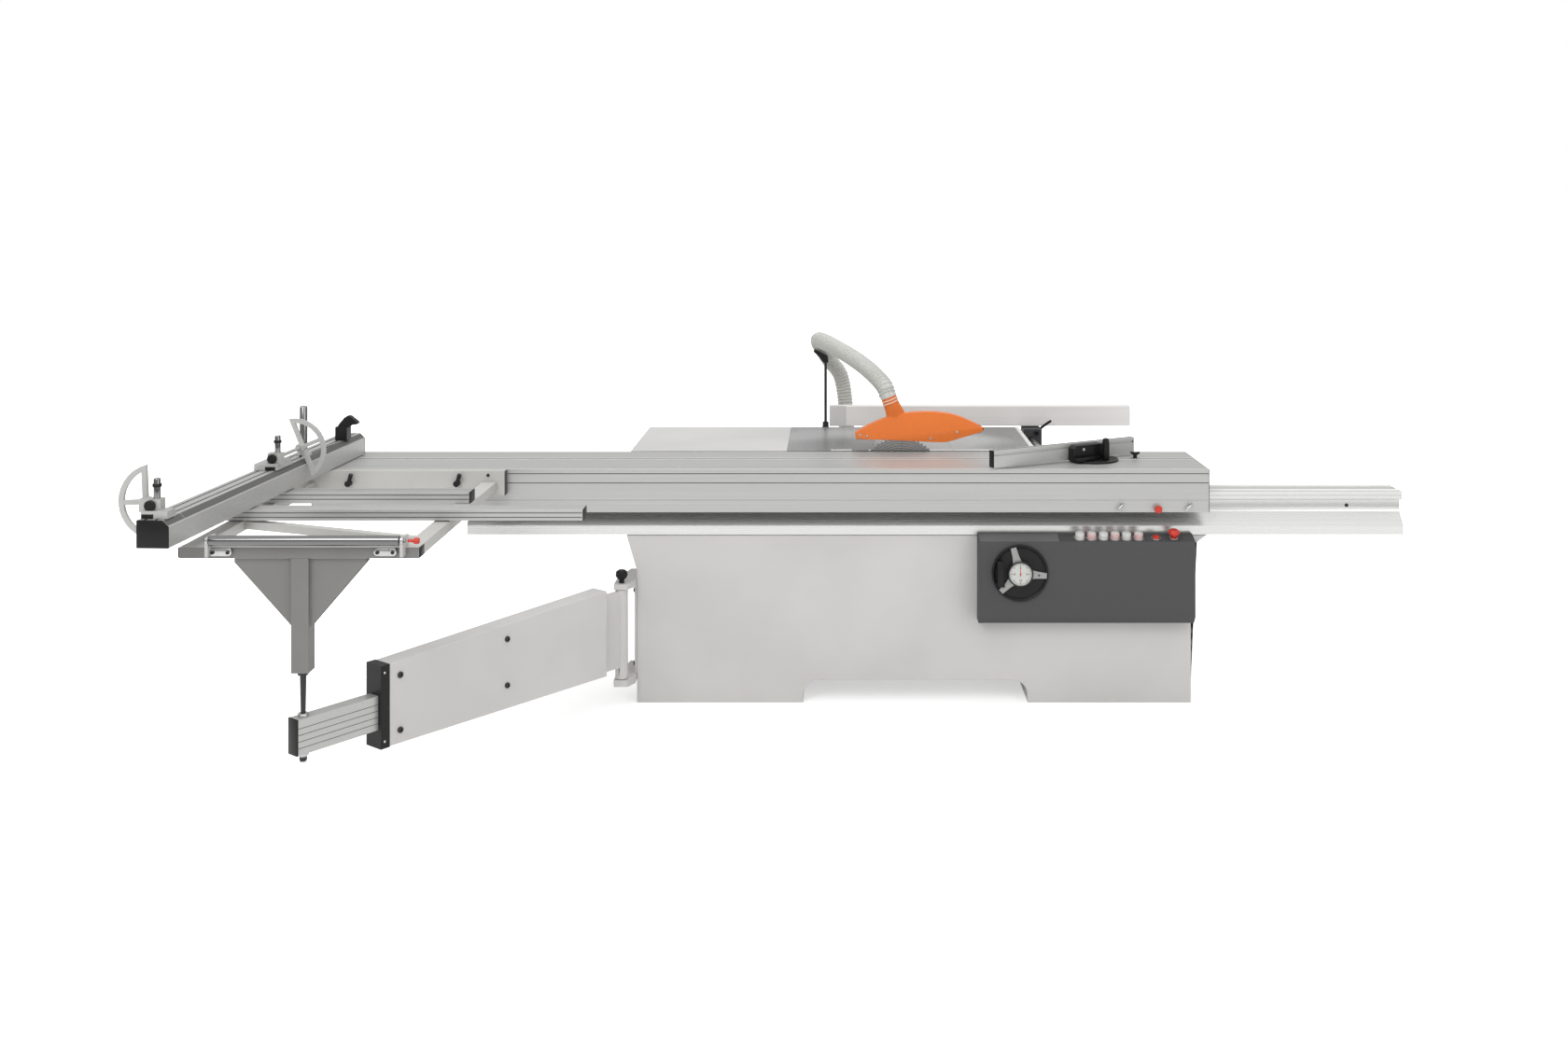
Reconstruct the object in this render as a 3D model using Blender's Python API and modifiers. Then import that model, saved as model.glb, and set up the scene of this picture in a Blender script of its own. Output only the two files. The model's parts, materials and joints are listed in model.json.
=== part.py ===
"""Sliding-table panel saw, built from separate named pieces.

Units are metres and +Z is up. The pieces are laid out in a layout frame: X runs along the sliding table,
Y = 0 is the front face of the sliding table and grows away from the operator's side, Z = 0 is the floor.
One root empty then moves the whole machine so that the origin lies under the middle of its bounding box.
"""
import math

import bmesh
import bpy
from mathutils import Matrix, Vector

GAP = 0.0005
SHIFT_X = 0.0092
SHIFT_Y = -0.0096

# Driving dimensions
TABLE_TOP = 0.850
TABLE_LOW_X = -1.870
TABLE_HIGH_X = 1.330
TABLE_DEPTH = 0.375
SKIRT_BOTTOM = 0.696
SKIRT_THICK = 0.022
PLATE_THICK = 0.0155

CABINET_LOW_X = -0.718
CABINET_HIGH_X = 1.278
CABINET_FRONT = 0.050
CABINET_BACK = 0.900
CABINET_SHOULDER = 0.604
CABINET_WALL = 0.004
UPPER_BOX_HALF_X = 0.745
UPPER_BOX_FRONT = 0.256
UPPER_BOX_TOP = 0.8217
FOOT_GAP_LOW_X = -0.119
FOOT_GAP_HIGH_X = 0.690
FOOT_GAP_HEIGHT = 0.082
FOOT_GAP_RADIUS = 0.055
FOOT_GAP_STEPS = 6

FIXED_TABLE_FRONT = 0.394
FIXED_TABLE_BACK = 0.992
CAST_LOW_X = -0.188
CAST_HIGH_X = 0.770
CAST_BOTTOM = 0.822
OUTFEED_LOW_X = -0.787

RAIL_LOW_X = -1.329
RAIL_HIGH_X = 2.042

TILT_Y = 0.3834
BLADE_X = 0.2455
BLADE_Z = 0.747
BLADE_RADIUS = 0.1575
BLADE_THICK = 0.0032
BLADE_Y = 0.385
SCORER_X = 0.480
SCORER_Z = 0.788
MOTOR_Z = 0.530
PULLEY_FRONT = 0.447
PULLEY_BACK = 0.469
ARBOR_PULLEY_RADIUS = 0.032
MOTOR_PULLEY_RADIUS = 0.045
BELT_THICK = 0.005

WHEEL_X = 0.652
WHEEL_Z = 0.488
WHEEL_RADIUS = 0.100
BOX_LOW_X = 0.507
BOX_HIGH_X = 1.2756
BOX_FRONT = -0.033
BOX_BACK = 0.0495
BOX_TOP_FRONT = 0.5985
BOX_SLOPE = math.radians(17.7)
BUTTON_Y = -0.009

ARM_PIVOT = Vector((-0.765, -0.010, 0.0))
ARM_ANGLE = math.radians(232.04)
ARM_REACH = 1.2746
ARM_BODY_START = 0.104
ARM_BODY_END = 1.031
ARM_THICK = 0.070
BEAM_WIDTH = 0.0436
BEAM_LOW = 0.212
BEAM_HIGH = 0.316

FENCE_ANGLE = math.radians(-2.496)
FENCE_PIVOT = Vector((-1.8266, 0.2507, 0.0))
FENCE_HALF_WIDTH = 0.045
FENCE_FAR = 0.060
FENCE_NEAR = -1.4785
FENCE_SEAM = -1.3785
FENCE_LOW = 0.853
FENCE_HIGH = 0.930

MITRE_PIVOT = Vector((0.930, 0.190, 0.0))
MITRE_ANGLE = math.radians(29.0)
MITRE_LOW = 0.8515
MITRE_HIGH = 0.917
MITRE_HUB_Y = -0.026

FRAME_LOW = 0.780
FRAME_HIGH = 0.812
POST_X = -1.549
POST_Y = -1.015
ROLLER_Y = -1.060
ROLLER_Z = 0.8355

FENCE_POST = (0.008, -0.435)

FENCE_BAR_LOW = 0.851
FENCE_BAR_HIGH = 0.9355
RIP_FACE_Y = 1.010
GUIDE_BAR_X = 0.822
GUIDE_BAR_Z = 0.800

HOSE_RADIUS = 0.034
HOSE_ROUTE = [
    (0.1970, 0.3700, 1.0660), (0.1790, 0.3960, 1.1040), (0.1280, 0.4880, 1.1480), (0.0575, 0.6500, 1.1838),
    (-0.0443, 0.9000, 1.2163), (-0.0750, 1.0000, 1.2097), (-0.0320, 1.1000, 1.1240),
    (0.0190, 1.1500, 1.0480), (0.0405, 1.1700, 0.9155), (0.0450, 1.1750, 0.7600),
    (0.0450, 1.1420, 0.6300), (0.0450, 1.0650, 0.5620), (0.0450, 0.9765, 0.5500),
]
HOSE_START = (0.1991, 0.3700, 1.0606)
HOSE_END = (0.0450, 0.9660, 0.5500)
HOSE_STEPS = 5
HOSE_POST_X = -0.045
HOSE_POST_Y = 1.020
PORT_X = 0.045
PORT_Z = 0.550
PORT_RADIUS = 0.034

PAINT = ("machine paint", (0.585, 0.580, 0.558), 0.45, 0.0)
DARK = ("dark texture paint", (0.085, 0.085, 0.087), 0.60, 0.0)
CAST = ("ground cast iron", (0.420, 0.420, 0.415), 0.35, 0.9)
ALUMINIUM = ("anodised aluminium", (0.620, 0.620, 0.615), 0.38, 0.9)
STEEL = ("bright steel", (0.560, 0.560, 0.560), 0.25, 1.0)
BLACK = ("black plastic", (0.012, 0.012, 0.013), 0.45, 0.0)
ORANGE = ("orange paint", (0.855, 0.195, 0.030), 0.40, 0.0)
RED = ("red plastic", (0.700, 0.030, 0.020), 0.35, 0.0)
CLEAR = ("clear button", (0.800, 0.790, 0.780), 0.20, 0.0)
PINK = ("pink button", (0.760, 0.420, 0.420), 0.20, 0.0)
HOSE = ("grey hose", (0.480, 0.480, 0.460), 0.55, 0.0)
RUBBER = ("belt rubber", (0.020, 0.020, 0.020), 0.80, 0.0)


def clear_scene():
    for obj in list(bpy.data.objects):
        bpy.data.objects.remove(obj, do_unlink=True)


def new_collection(name):
    collection = bpy.data.collections.new(name)
    bpy.context.scene.collection.children.link(collection)
    return collection


def material(spec):
    name, colour, roughness, metallic = spec
    found = bpy.data.materials.get(name)
    if found:
        return found
    made = bpy.data.materials.new(name)
    made.use_nodes = True
    shader = made.node_tree.nodes["Principled BSDF"]
    shader.inputs["Base Color"].default_value = (*colour, 1.0)
    shader.inputs["Roughness"].default_value = roughness
    shader.inputs["Metallic"].default_value = metallic
    return made


clear_scene()
PARTS = new_collection("panel saw")
CUTTERS = new_collection("cutters")


def empty(name, location, angle=0.0, parent=None):
    holder = bpy.data.objects.new(name, None)
    holder.location = location
    holder.rotation_euler = (0.0, 0.0, angle)
    holder.parent = parent
    PARTS.objects.link(holder)
    return holder


MACHINE = empty("machine", (-SHIFT_X, -SHIFT_Y, 0.0))
ARM = empty("arm hinge axis", ARM_PIVOT, ARM_ANGLE, MACHINE)
FENCE = empty("crosscut fence axis", FENCE_PIVOT, FENCE_ANGLE, MACHINE)
MITRE = empty("mitre fence axis", MITRE_PIVOT, MITRE_ANGLE, MACHINE)


# Shapes. Each returns a plain object, placed in its parent's frame, until piece() names it.

def shape(mesh):
    obj = bpy.data.objects.new("shape", mesh)
    CUTTERS.objects.link(obj)
    return obj


def from_bmesh(bm):
    mesh = bpy.data.meshes.new("shape")
    bm.to_mesh(mesh)
    bm.free()
    return shape(mesh)


def box(low, high):
    low, high = Vector(low), Vector(high)
    size = high - low
    bm = bmesh.new()
    place = Matrix.Translation((low + high) / 2) @ Matrix.Diagonal((*size, 1.0))
    bmesh.ops.create_cube(bm, size=1.0, matrix=place)
    return from_bmesh(bm)


def rod(start, end, radius, end_radius=None, sides=24):
    start, end = Vector(start), Vector(end)
    run = end - start
    place = Matrix.Translation((start + end) / 2) @ run.to_track_quat("Z", "Y").to_matrix().to_4x4()
    bm = bmesh.new()
    bmesh.ops.create_cone(bm, cap_ends=True, segments=sides, radius1=radius,
                          radius2=radius if end_radius is None else end_radius,
                          depth=run.length, matrix=place)
    return from_bmesh(bm)


def curve_to_mesh(curve_object):
    bpy.context.view_layer.update()
    evaluated = curve_object.evaluated_get(bpy.context.evaluated_depsgraph_get())
    mesh = bpy.data.meshes.new_from_object(evaluated)
    bm = bmesh.new()
    bm.from_mesh(mesh)
    bmesh.ops.remove_doubles(bm, verts=bm.verts, dist=1e-5)
    bmesh.ops.recalc_face_normals(bm, faces=bm.faces)
    bm.to_mesh(mesh)
    bm.free()
    solid = shape(mesh)
    solid.matrix_world = curve_object.matrix_world
    bpy.data.objects.remove(curve_object, do_unlink=True)
    return solid


AXIS_FRAMES = {
    "X": Matrix(((0, 0, 1, 0), (1, 0, 0, 0), (0, 1, 0, 0), (0, 0, 0, 1))),
    "Y": Matrix(((1, 0, 0, 0), (0, 0, -1, 0), (0, 1, 0, 0), (0, 0, 0, 1))),
    "Z": Matrix.Identity(4),
}


def prism(axis, low, high, outline, holes=()):
    """Extrude a flat outline along an axis: X takes (Y, Z) points, Y takes (X, Z), Z takes (X, Y)."""
    curve = bpy.data.curves.new("outline", "CURVE")
    curve.dimensions = "2D"
    curve.fill_mode = "BOTH"
    curve.extrude = (high - low) / 2
    for points in (outline, *holes):
        spline = curve.splines.new("POLY")
        spline.points.add(len(points) - 1)
        for point, (u, v) in zip(spline.points, points):
            point.co = (u, v, 0.0, 1.0)
        spline.use_cyclic_u = True
    obj = bpy.data.objects.new("outline", curve)
    CUTTERS.objects.link(obj)
    middle = (low + high) / 2
    if axis == "Y":
        middle = -middle
    obj.matrix_world = AXIS_FRAMES[axis] @ Matrix.Translation((0.0, 0.0, middle))
    return curve_to_mesh(obj)


def turned(profile, base, direction, sides=24):
    """Turn (radius, height) points, listed from the top down, about a line from base along direction."""
    mesh = bpy.data.meshes.new("profile")
    points = [(radius, 0.0, height) for radius, height in profile]
    mesh.from_pydata(points, [(i, i + 1) for i in range(len(points) - 1)], [])
    obj = shape(mesh)
    obj.matrix_world = Matrix.Translation(base) @ Vector(direction).to_track_quat("Z", "Y").to_matrix().to_4x4()
    screw = obj.modifiers.new("turn", "SCREW")
    screw.steps = sides
    screw.render_steps = sides
    screw.use_merge_vertices = True
    screw.merge_threshold = 1e-5
    return obj


def arc(centre, radius, start, end, count):
    angles = [math.radians(start + (end - start) * i / count) for i in range(count + 1)]
    return [(centre[0] + radius * math.cos(a), centre[1] + radius * math.sin(a)) for a in angles]


def combine(target, others, operation):
    for other in others:
        step = target.modifiers.new(operation.lower(), "BOOLEAN")
        step.operation = operation
        step.object = other


def piece(name, base, spec, joins=(), cuts=(), pivot=None, parent=None):
    """Name a shape as a sub-part, join and cut it, and put its origin on its joint's axis."""
    parent = parent or MACHINE
    for other in (*joins, *cuts):
        other.name = name + " tool"
        other.parent = parent
        other.hide_render = True
        other.display_type = "WIRE"
    CUTTERS.objects.unlink(base)
    PARTS.objects.link(base)
    base.name = name
    base.data.name = name
    base.parent = parent
    base.data.materials.clear()
    base.data.materials.append(material(spec))
    if pivot is not None:
        pivot = Vector(pivot)
        base.data.transform(Matrix.Translation(-pivot) @ base.matrix_basis)
        base.matrix_basis = Matrix.Translation(pivot)
    combine(base, joins, "UNION")
    combine(base, cuts, "DIFFERENCE")
    return base


# Fixed machine body

def cabinet_outline(inset):
    """Front outline of the cabinet with its flared shoulders and its foot gap."""
    left = CABINET_LOW_X + inset
    right = CABINET_HIGH_X - inset
    gap_left = FOOT_GAP_LOW_X - inset
    gap_right = FOOT_GAP_HIGH_X + inset
    gap_top = FOOT_GAP_HEIGHT + inset
    radius = FOOT_GAP_RADIUS
    top = CABINET_SHOULDER - inset
    points = [(gap_left, inset)]
    points += arc((gap_left + radius, gap_top - radius), radius, 180, 90, FOOT_GAP_STEPS)
    points += arc((gap_right - radius, gap_top - radius), radius, 90, 0, FOOT_GAP_STEPS)
    points += [(gap_right, inset), (right, inset), (right, 0.573), (1.302 - inset, 0.579)]
    points += [(1.3355 - inset, top), (-0.755 + inset, top), (-0.755 + inset, 0.598 - inset)]
    points += [(left, 0.474), (left, inset)]
    return points


def build_cabinet():
    """A front sheet, a bent floor sheet with the foot gap, and the shell that carries the rail and the tables."""
    wall = CABINET_WALL
    inner_front = CABINET_FRONT + wall + GAP
    left, right = CABINET_LOW_X + wall, CABINET_HIGH_X - wall
    gap_points = 2 * (FOOT_GAP_STEPS + 1) + 2
    piece("cabinet_front", prism("Y", CABINET_FRONT, CABINET_FRONT + wall, cabinet_outline(0.0)), PAINT)

    below, above = cabinet_outline(0.0)[:gap_points], cabinet_outline(wall)[:gap_points]
    floor_section = [(left + GAP, 0.0), *below, (right - GAP, 0.0), (right - GAP, wall), *reversed(above),
                     (left + GAP, wall)]
    piece("cabinet_floor", prism("Y", inner_front, CABINET_BACK - wall - GAP, floor_section), PAINT)

    upper = box((-UPPER_BOX_HALF_X, UPPER_BOX_FRONT, CABINET_SHOULDER - 0.01),
                (UPPER_BOX_HALF_X, CABINET_BACK, UPPER_BOX_TOP))
    open_bottom = [(left, -0.05), (right, -0.05), *cabinet_outline(wall)[gap_points + 1:-1]]
    inside = prism("Y", CABINET_FRONT, CABINET_BACK - wall, open_bottom)
    upper_inside = box((-UPPER_BOX_HALF_X + wall, UPPER_BOX_FRONT + wall, CABINET_SHOULDER - 0.02),
                       (UPPER_BOX_HALF_X - wall, CABINET_BACK - wall, UPPER_BOX_TOP + 0.01))
    blade_window = box((0.040, 0.155, 0.580), (0.620, UPPER_BOX_FRONT + 0.014, 0.830))
    port_hole = rod((PORT_X, 0.880, PORT_Z), (PORT_X, 0.920, PORT_Z), PORT_RADIUS)
    piece("cabinet", prism("Y", inner_front, CABINET_BACK, cabinet_outline(0.0)), PAINT,
          joins=[upper], cuts=[inside, upper_inside, blade_window, port_hole])


def build_rail():
    section = [(0.043, 0.607), (0.150, 0.607), (0.150, 0.727), (0.193, 0.732), (0.193, 0.759),
               (0.057, 0.759), (0.057, 0.732), (0.084, 0.727), (0.084, 0.686), (0.043, 0.639)]
    chamber = box((RAIL_LOW_X - 0.01, 0.096, 0.620), (RAIL_HIGH_X + 0.01, 0.140, 0.715))
    piece("guide_rail", prism("X", RAIL_LOW_X, RAIL_HIGH_X, section), ALUMINIUM, cuts=[chamber])


def build_fixed_tables():
    rim = 0.018
    rim_bottom = 0.800
    pocket = box((CAST_LOW_X - 0.01, FIXED_TABLE_FRONT - 0.01, rim_bottom - 0.01),
                 (CAST_HIGH_X - rim, FIXED_TABLE_BACK - rim, CAST_BOTTOM))
    piece("cast_iron_table", box((CAST_LOW_X, FIXED_TABLE_FRONT, rim_bottom),
                                 (CAST_HIGH_X, FIXED_TABLE_BACK, TABLE_TOP)), CAST, cuts=[pocket])
    pocket = box((OUTFEED_LOW_X + rim, FIXED_TABLE_FRONT - 0.01, rim_bottom - 0.01),
                 (CAST_LOW_X + 0.01, FIXED_TABLE_BACK - rim, CAST_BOTTOM))
    piece("outfeed_table", box((OUTFEED_LOW_X, FIXED_TABLE_FRONT, rim_bottom),
                               (CAST_LOW_X - GAP, FIXED_TABLE_BACK, TABLE_TOP)), PAINT, cuts=[pocket])


def build_control_box():
    top_back = 0.0195
    rise = math.tan(BOX_SLOPE)
    top_high = BOX_TOP_FRONT + (top_back - BOX_FRONT) * rise
    wall = 0.003
    outline = [(BOX_BACK, 0.3035), (BOX_BACK, 0.6035), (0.0415, 0.6035), (0.0415, top_high),
               (top_back, top_high), (BOX_FRONT, BOX_TOP_FRONT), (BOX_FRONT, 0.330), (-0.009, 0.3035)]
    hollow = [(BOX_BACK + 0.01, 0.3065), (BOX_BACK + 0.01, 0.6005), (0.0385, 0.6005),
              (0.0385, top_high - wall), (top_back, top_high - wall), (BOX_FRONT + wall, BOX_TOP_FRONT - wall),
              (BOX_FRONT + wall, 0.3315), (-0.0078, 0.3065)]
    base = prism("X", BOX_LOW_X, BOX_HIGH_X, outline)
    cuts = [prism("X", BOX_LOW_X + wall, BOX_HIGH_X - wall, hollow)]
    for button in BUTTONS:
        foot = button_foot(button["x"])
        along = button_axis()
        cuts.append(rod(foot - along * 0.010, foot + along * 0.010, button["radius"] + 0.0008))
    cuts.append(rod((WHEEL_X, BOX_FRONT - 0.01, WHEEL_Z), (WHEEL_X, BOX_FRONT + 0.01, WHEEL_Z), 0.0125))
    piece("control_box", base, DARK, cuts=cuts)


BUTTONS = [
    {"name": "push_button_1", "x": 0.868, "radius": 0.0165, "kind": "cap", "spec": CLEAR},
    {"name": "push_button_2", "x": 0.910, "radius": 0.0165, "kind": "cap", "spec": PINK},
    {"name": "push_button_3", "x": 0.952, "radius": 0.0165, "kind": "cap", "spec": CLEAR},
    {"name": "push_button_4", "x": 0.993, "radius": 0.0165, "kind": "cap", "spec": PINK},
    {"name": "push_button_5", "x": 1.034, "radius": 0.0165, "kind": "cap", "spec": CLEAR},
    {"name": "push_button_6", "x": 1.077, "radius": 0.0165, "kind": "cap", "spec": PINK},
    {"name": "stop_button", "x": 1.140, "radius": 0.0125, "kind": "low", "spec": RED},
    {"name": "emergency_stop", "x": 1.203, "radius": 0.0110, "kind": "mushroom", "spec": RED},
]


def button_axis():
    return Vector((0.0, -math.sin(BOX_SLOPE), math.cos(BOX_SLOPE)))


def button_foot(x):
    return Vector((x, BUTTON_Y, BOX_TOP_FRONT + (BUTTON_Y - BOX_FRONT) * math.tan(BOX_SLOPE)))


def button_profile(kind, radius):
    if kind == "mushroom":
        return [(0.0, 0.0340), (0.012, 0.0330), (0.0185, 0.0290), (0.0205, 0.0240), (0.0195, 0.0190),
                (radius, 0.0170), (radius, -0.006), (0.0, -0.006)]
    height = 0.009 if kind == "low" else 0.022
    return [(0.0, height), (radius - 0.004, height), (radius - 0.001, height - 0.0015),
            (radius, height - 0.005), (radius, -0.006), (0.0, -0.006)]


def build_buttons():
    for button in BUTTONS:
        foot = button_foot(button["x"])
        knob = turned(button_profile(button["kind"], button["radius"]), foot, button_axis())
        piece(button["name"], knob, button["spec"])


def build_handwheel():
    """Dished wheel with three tapered spokes, a gauge dial in its hub and a fold-away grip."""
    back = BOX_FRONT - 0.0015
    base = rod((WHEEL_X, back, WHEEL_Z), (WHEEL_X, back - 0.007, WHEEL_Z), WHEEL_RADIUS, sides=48)
    joins = [rod((WHEEL_X, back - 0.006, WHEEL_Z), (WHEEL_X, back - 0.023, WHEEL_Z), 0.043, sides=32),
             rod((WHEEL_X, back + 0.020, WHEEL_Z), (WHEEL_X, back - 0.001, WHEEL_Z), 0.012)]
    for degrees in (105.0, -5.0, -137.0):
        angle = math.radians(degrees)
        along = Vector((math.cos(angle), math.sin(angle)))
        across = Vector((-along.y, along.x))
        centre = Vector((WHEEL_X, WHEEL_Z))
        corners = [centre + along * 0.030 - across * 0.0175, centre + along * 0.094 - across * 0.010,
                   centre + along * 0.094 + across * 0.010, centre + along * 0.030 + across * 0.0175]
        joins.append(prism("Y", back - 0.013, back - 0.006, [tuple(c) for c in corners]))
    hinge_x = WHEEL_X - 0.072
    hinge_z = WHEEL_Z - 0.040
    joins += [box((hinge_x - 0.016, back - 0.020, hinge_z - 0.008), (hinge_x - 0.0115, back - 0.006, hinge_z + 0.008)),
              box((hinge_x + 0.0115, back - 0.020, hinge_z - 0.008), (hinge_x + 0.016, back - 0.006, hinge_z + 0.008))]
    pivot = (WHEEL_X, back, WHEEL_Z)
    piece("tilt_handwheel", base, BLACK, joins=joins, pivot=pivot)
    grip_y = back - 0.0245
    grip = box((hinge_x - 0.011, grip_y - 0.010, hinge_z - 0.004), (hinge_x + 0.011, grip_y + 0.010, hinge_z + 0.087))
    bevel = grip.modifiers.new("rounded edges", "BEVEL")
    bevel.width = 0.004
    bevel.segments = 2
    piece("handwheel_grip", grip, BLACK, pivot=(hinge_x, grip_y + 0.002, hinge_z))


# Saw unit: everything that tilts about the table's blade slot

def ring_sector(inner, outer, start, end, count):
    centre = (TILT_Y, TABLE_TOP)
    return arc(centre, outer, start, end, count) + arc(centre, inner, end, start, count)


def build_trunnions():
    for name, low in (("trunnion_left", -0.125), ("trunnion_right", 0.651)):
        hanger = box((low, 0.640, 0.560), (low + 0.014, 0.700, CAST_BOTTOM - GAP))
        arc_plate = prism("X", low, low + 0.014, ring_sector(0.320, 0.370, -118, -30, 14))
        piece(name, arc_plate, CAST, joins=[hanger])


def cheek_outline():
    rel = [(0.030, -0.055), (0.200, -0.055), (0.360, -0.200), (0.360, -0.300), (0.240, -0.440),
           (0.120, -0.440), (0.110, -0.280), (0.030, -0.150)]
    return [(TILT_Y + y, TABLE_TOP + z) for y, z in rel]


GUIDE_POSTS_X = (0.110, 0.381)


def build_tilt_cradle():
    left = prism("X", -0.105, -0.095, cheek_outline())
    right = prism("X", 0.635, 0.645, cheek_outline())
    rear_beam = box((-0.100, 0.730, 0.560), (0.640, 0.742, 0.640))
    joins = [right, rear_beam]
    for x in GUIDE_POSTS_X:
        joins += [rod((x, 0.660, 0.500), (x, 0.660, 0.760), 0.011),
                  box((x - 0.016, 0.642, 0.748), (x + 0.016, 0.742, 0.762)),
                  box((x - 0.016, 0.642, 0.498), (x + 0.016, 0.742, 0.512)),
                  box((x - 0.016, 0.731, 0.500), (x + 0.016, 0.741, 0.760))]
    scorer_block = box((SCORER_X - 0.025, 0.3975, 0.766), (SCORER_X + 0.025, 0.470, 0.810))
    scorer_arm = box((SCORER_X + 0.020, 0.415, 0.766), (0.640, 0.432, 0.792))
    joins += [scorer_block, scorer_arm]
    bore = rod((SCORER_X, 0.380, SCORER_Z), (SCORER_X, 0.480, SCORER_Z), 0.0105)
    piece("tilt_cradle", left, CAST, joins=joins, cuts=[bore], pivot=(BLADE_X, TILT_Y, TABLE_TOP))


def build_lift_carriage():
    half = 0.034
    front = box((BLADE_X - half, 0.3975, BLADE_Z - half), (BLADE_X + 0.060, 0.443, BLADE_Z + half))
    back = box((BLADE_X - half, 0.473, BLADE_Z - half), (BLADE_X + 0.060, 0.600, BLADE_Z + half))
    side = box((BLADE_X + 0.049, 0.3977, 0.648), (BLADE_X + 0.0597, 0.5997, BLADE_Z + half - 0.0003))
    shelf = box((0.080, 0.484, 0.6405), (0.412, 0.700, 0.655))
    knife_bar = box((0.030, 0.400, 0.700), (BLADE_X - 0.030, 0.418, 0.730))
    knife_block = box((0.030, 0.3870, 0.690), (0.075, 0.418, 0.735))
    bore = rod((BLADE_X, 0.380, BLADE_Z), (BLADE_X, 0.620, BLADE_Z), 0.0135)
    guide_holes = [rod((x, 0.660, 0.600), (x, 0.660, 0.700), 0.0120) for x in GUIDE_POSTS_X]
    piece("lift_carriage", shelf, CAST, joins=[side, front, back, knife_bar, knife_block],
          cuts=[bore, *guide_holes], pivot=(BLADE_X, BLADE_Y, BLADE_Z))


def build_motor():
    body = rod((BLADE_X, 0.4845, MOTOR_Z), (BLADE_X, 0.7230, MOTOR_Z), 0.098, sides=32)
    foot = box((BLADE_X - 0.090, 0.500, 0.600), (BLADE_X + 0.090, 0.690, 0.6400))
    terminal_box = box((BLADE_X + 0.060, 0.560, MOTOR_Z - 0.045), (BLADE_X + 0.113, 0.660, MOTOR_Z + 0.045))
    piece("motor", body, DARK, joins=[foot, terminal_box])
    pulley = rod((BLADE_X, PULLEY_FRONT, MOTOR_Z), (BLADE_X, PULLEY_BACK, MOTOR_Z), MOTOR_PULLEY_RADIUS, sides=32)
    shaft = rod((BLADE_X, 0.440, MOTOR_Z), (BLADE_X, 0.4835, MOTOR_Z), 0.012)
    piece("motor_pulley", pulley, CAST, joins=[shaft], pivot=(BLADE_X, 0.460, MOTOR_Z))


def belt_outline(extra):
    """Closed run of a belt round the two pulleys, extra metres outside their rims."""
    small = ARBOR_PULLEY_RADIUS + extra
    large = MOTOR_PULLEY_RADIUS + extra
    lean = math.degrees(math.asin((large - small) / (BLADE_Z - MOTOR_Z)))
    top = arc((BLADE_X, BLADE_Z), small, -lean, 180 + lean, 16)
    bottom = arc((BLADE_X, MOTOR_Z), large, 180 + lean, 360 - lean, 16)
    return top + bottom


def build_belt():
    belt = prism("Y", PULLEY_FRONT + 0.002, PULLEY_BACK - 0.002, belt_outline(0.0010 + BELT_THICK),
                 holes=[belt_outline(0.0010)])
    piece("drive_belt", belt, RUBBER)


def build_arbor_and_blades():
    front_face = BLADE_Y - BLADE_THICK / 2
    back_face = BLADE_Y + BLADE_THICK / 2
    shaft = rod((BLADE_X, front_face - 0.011, BLADE_Z), (BLADE_X, 0.598, BLADE_Z), 0.012)
    nut = rod((BLADE_X, front_face - 0.011, BLADE_Z), (BLADE_X, front_face - GAP, BLADE_Z), 0.0245, sides=6)
    flange = rod((BLADE_X, back_face + GAP, BLADE_Z), (BLADE_X, 0.3965, BLADE_Z), 0.030)
    pulley = rod((BLADE_X, PULLEY_FRONT, BLADE_Z), (BLADE_X, PULLEY_BACK, BLADE_Z), ARBOR_PULLEY_RADIUS, sides=32)
    piece("saw_arbor", shaft, STEEL, joins=[nut, flange, pulley], pivot=(BLADE_X, BLADE_Y, BLADE_Z))
    bore = rod((BLADE_X, 0.37, BLADE_Z), (BLADE_X, 0.40, BLADE_Z), 0.0125)
    disc = rod((BLADE_X, front_face, BLADE_Z), (BLADE_X, back_face, BLADE_Z), BLADE_RADIUS, sides=72)
    piece("saw_blade", disc, STEEL, cuts=[bore], pivot=(BLADE_X, BLADE_Y, BLADE_Z))
    scorer = rod((SCORER_X, front_face, SCORER_Z), (SCORER_X, back_face, SCORER_Z), 0.060, sides=36)
    joins = [rod((SCORER_X, front_face - 0.006, SCORER_Z), (SCORER_X, 0.3965, SCORER_Z), 0.022),
             rod((SCORER_X, 0.390, SCORER_Z), (SCORER_X, 0.500, SCORER_Z), 0.0095)]
    piece("scoring_blade", scorer, STEEL, joins=joins, pivot=(SCORER_X, BLADE_Y, SCORER_Z))


def build_riving_knife():
    outline = [(0.040, 0.690), (0.110, 0.690), (0.150, 0.900), (0.150, 0.945), (0.098, 0.945), (0.058, 0.850)]
    clearance = rod((BLADE_X, 0.37, BLADE_Z), (BLADE_X, 0.40, BLADE_Z), BLADE_RADIUS + 0.005, sides=72)
    piece("riving_knife", prism("Y", BLADE_Y - 0.0013, BLADE_Y + 0.0013, outline), STEEL, cuts=[clearance])


GUARD_OUTLINE = [
    (0.0729, 0.9210), (0.0786, 0.8980), (0.2156, 0.8940), (0.3932, 0.8860), (0.4700, 0.9000),
    (0.5516, 0.9250), (0.5590, 0.9360), (0.5550, 0.9440), (0.5167, 0.9650), (0.4587, 0.9890),
    (0.4010, 0.9990), (0.3430, 1.0020), (0.2697, 0.9980), (0.1943, 0.9810), (0.1306, 0.9555),
]


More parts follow.
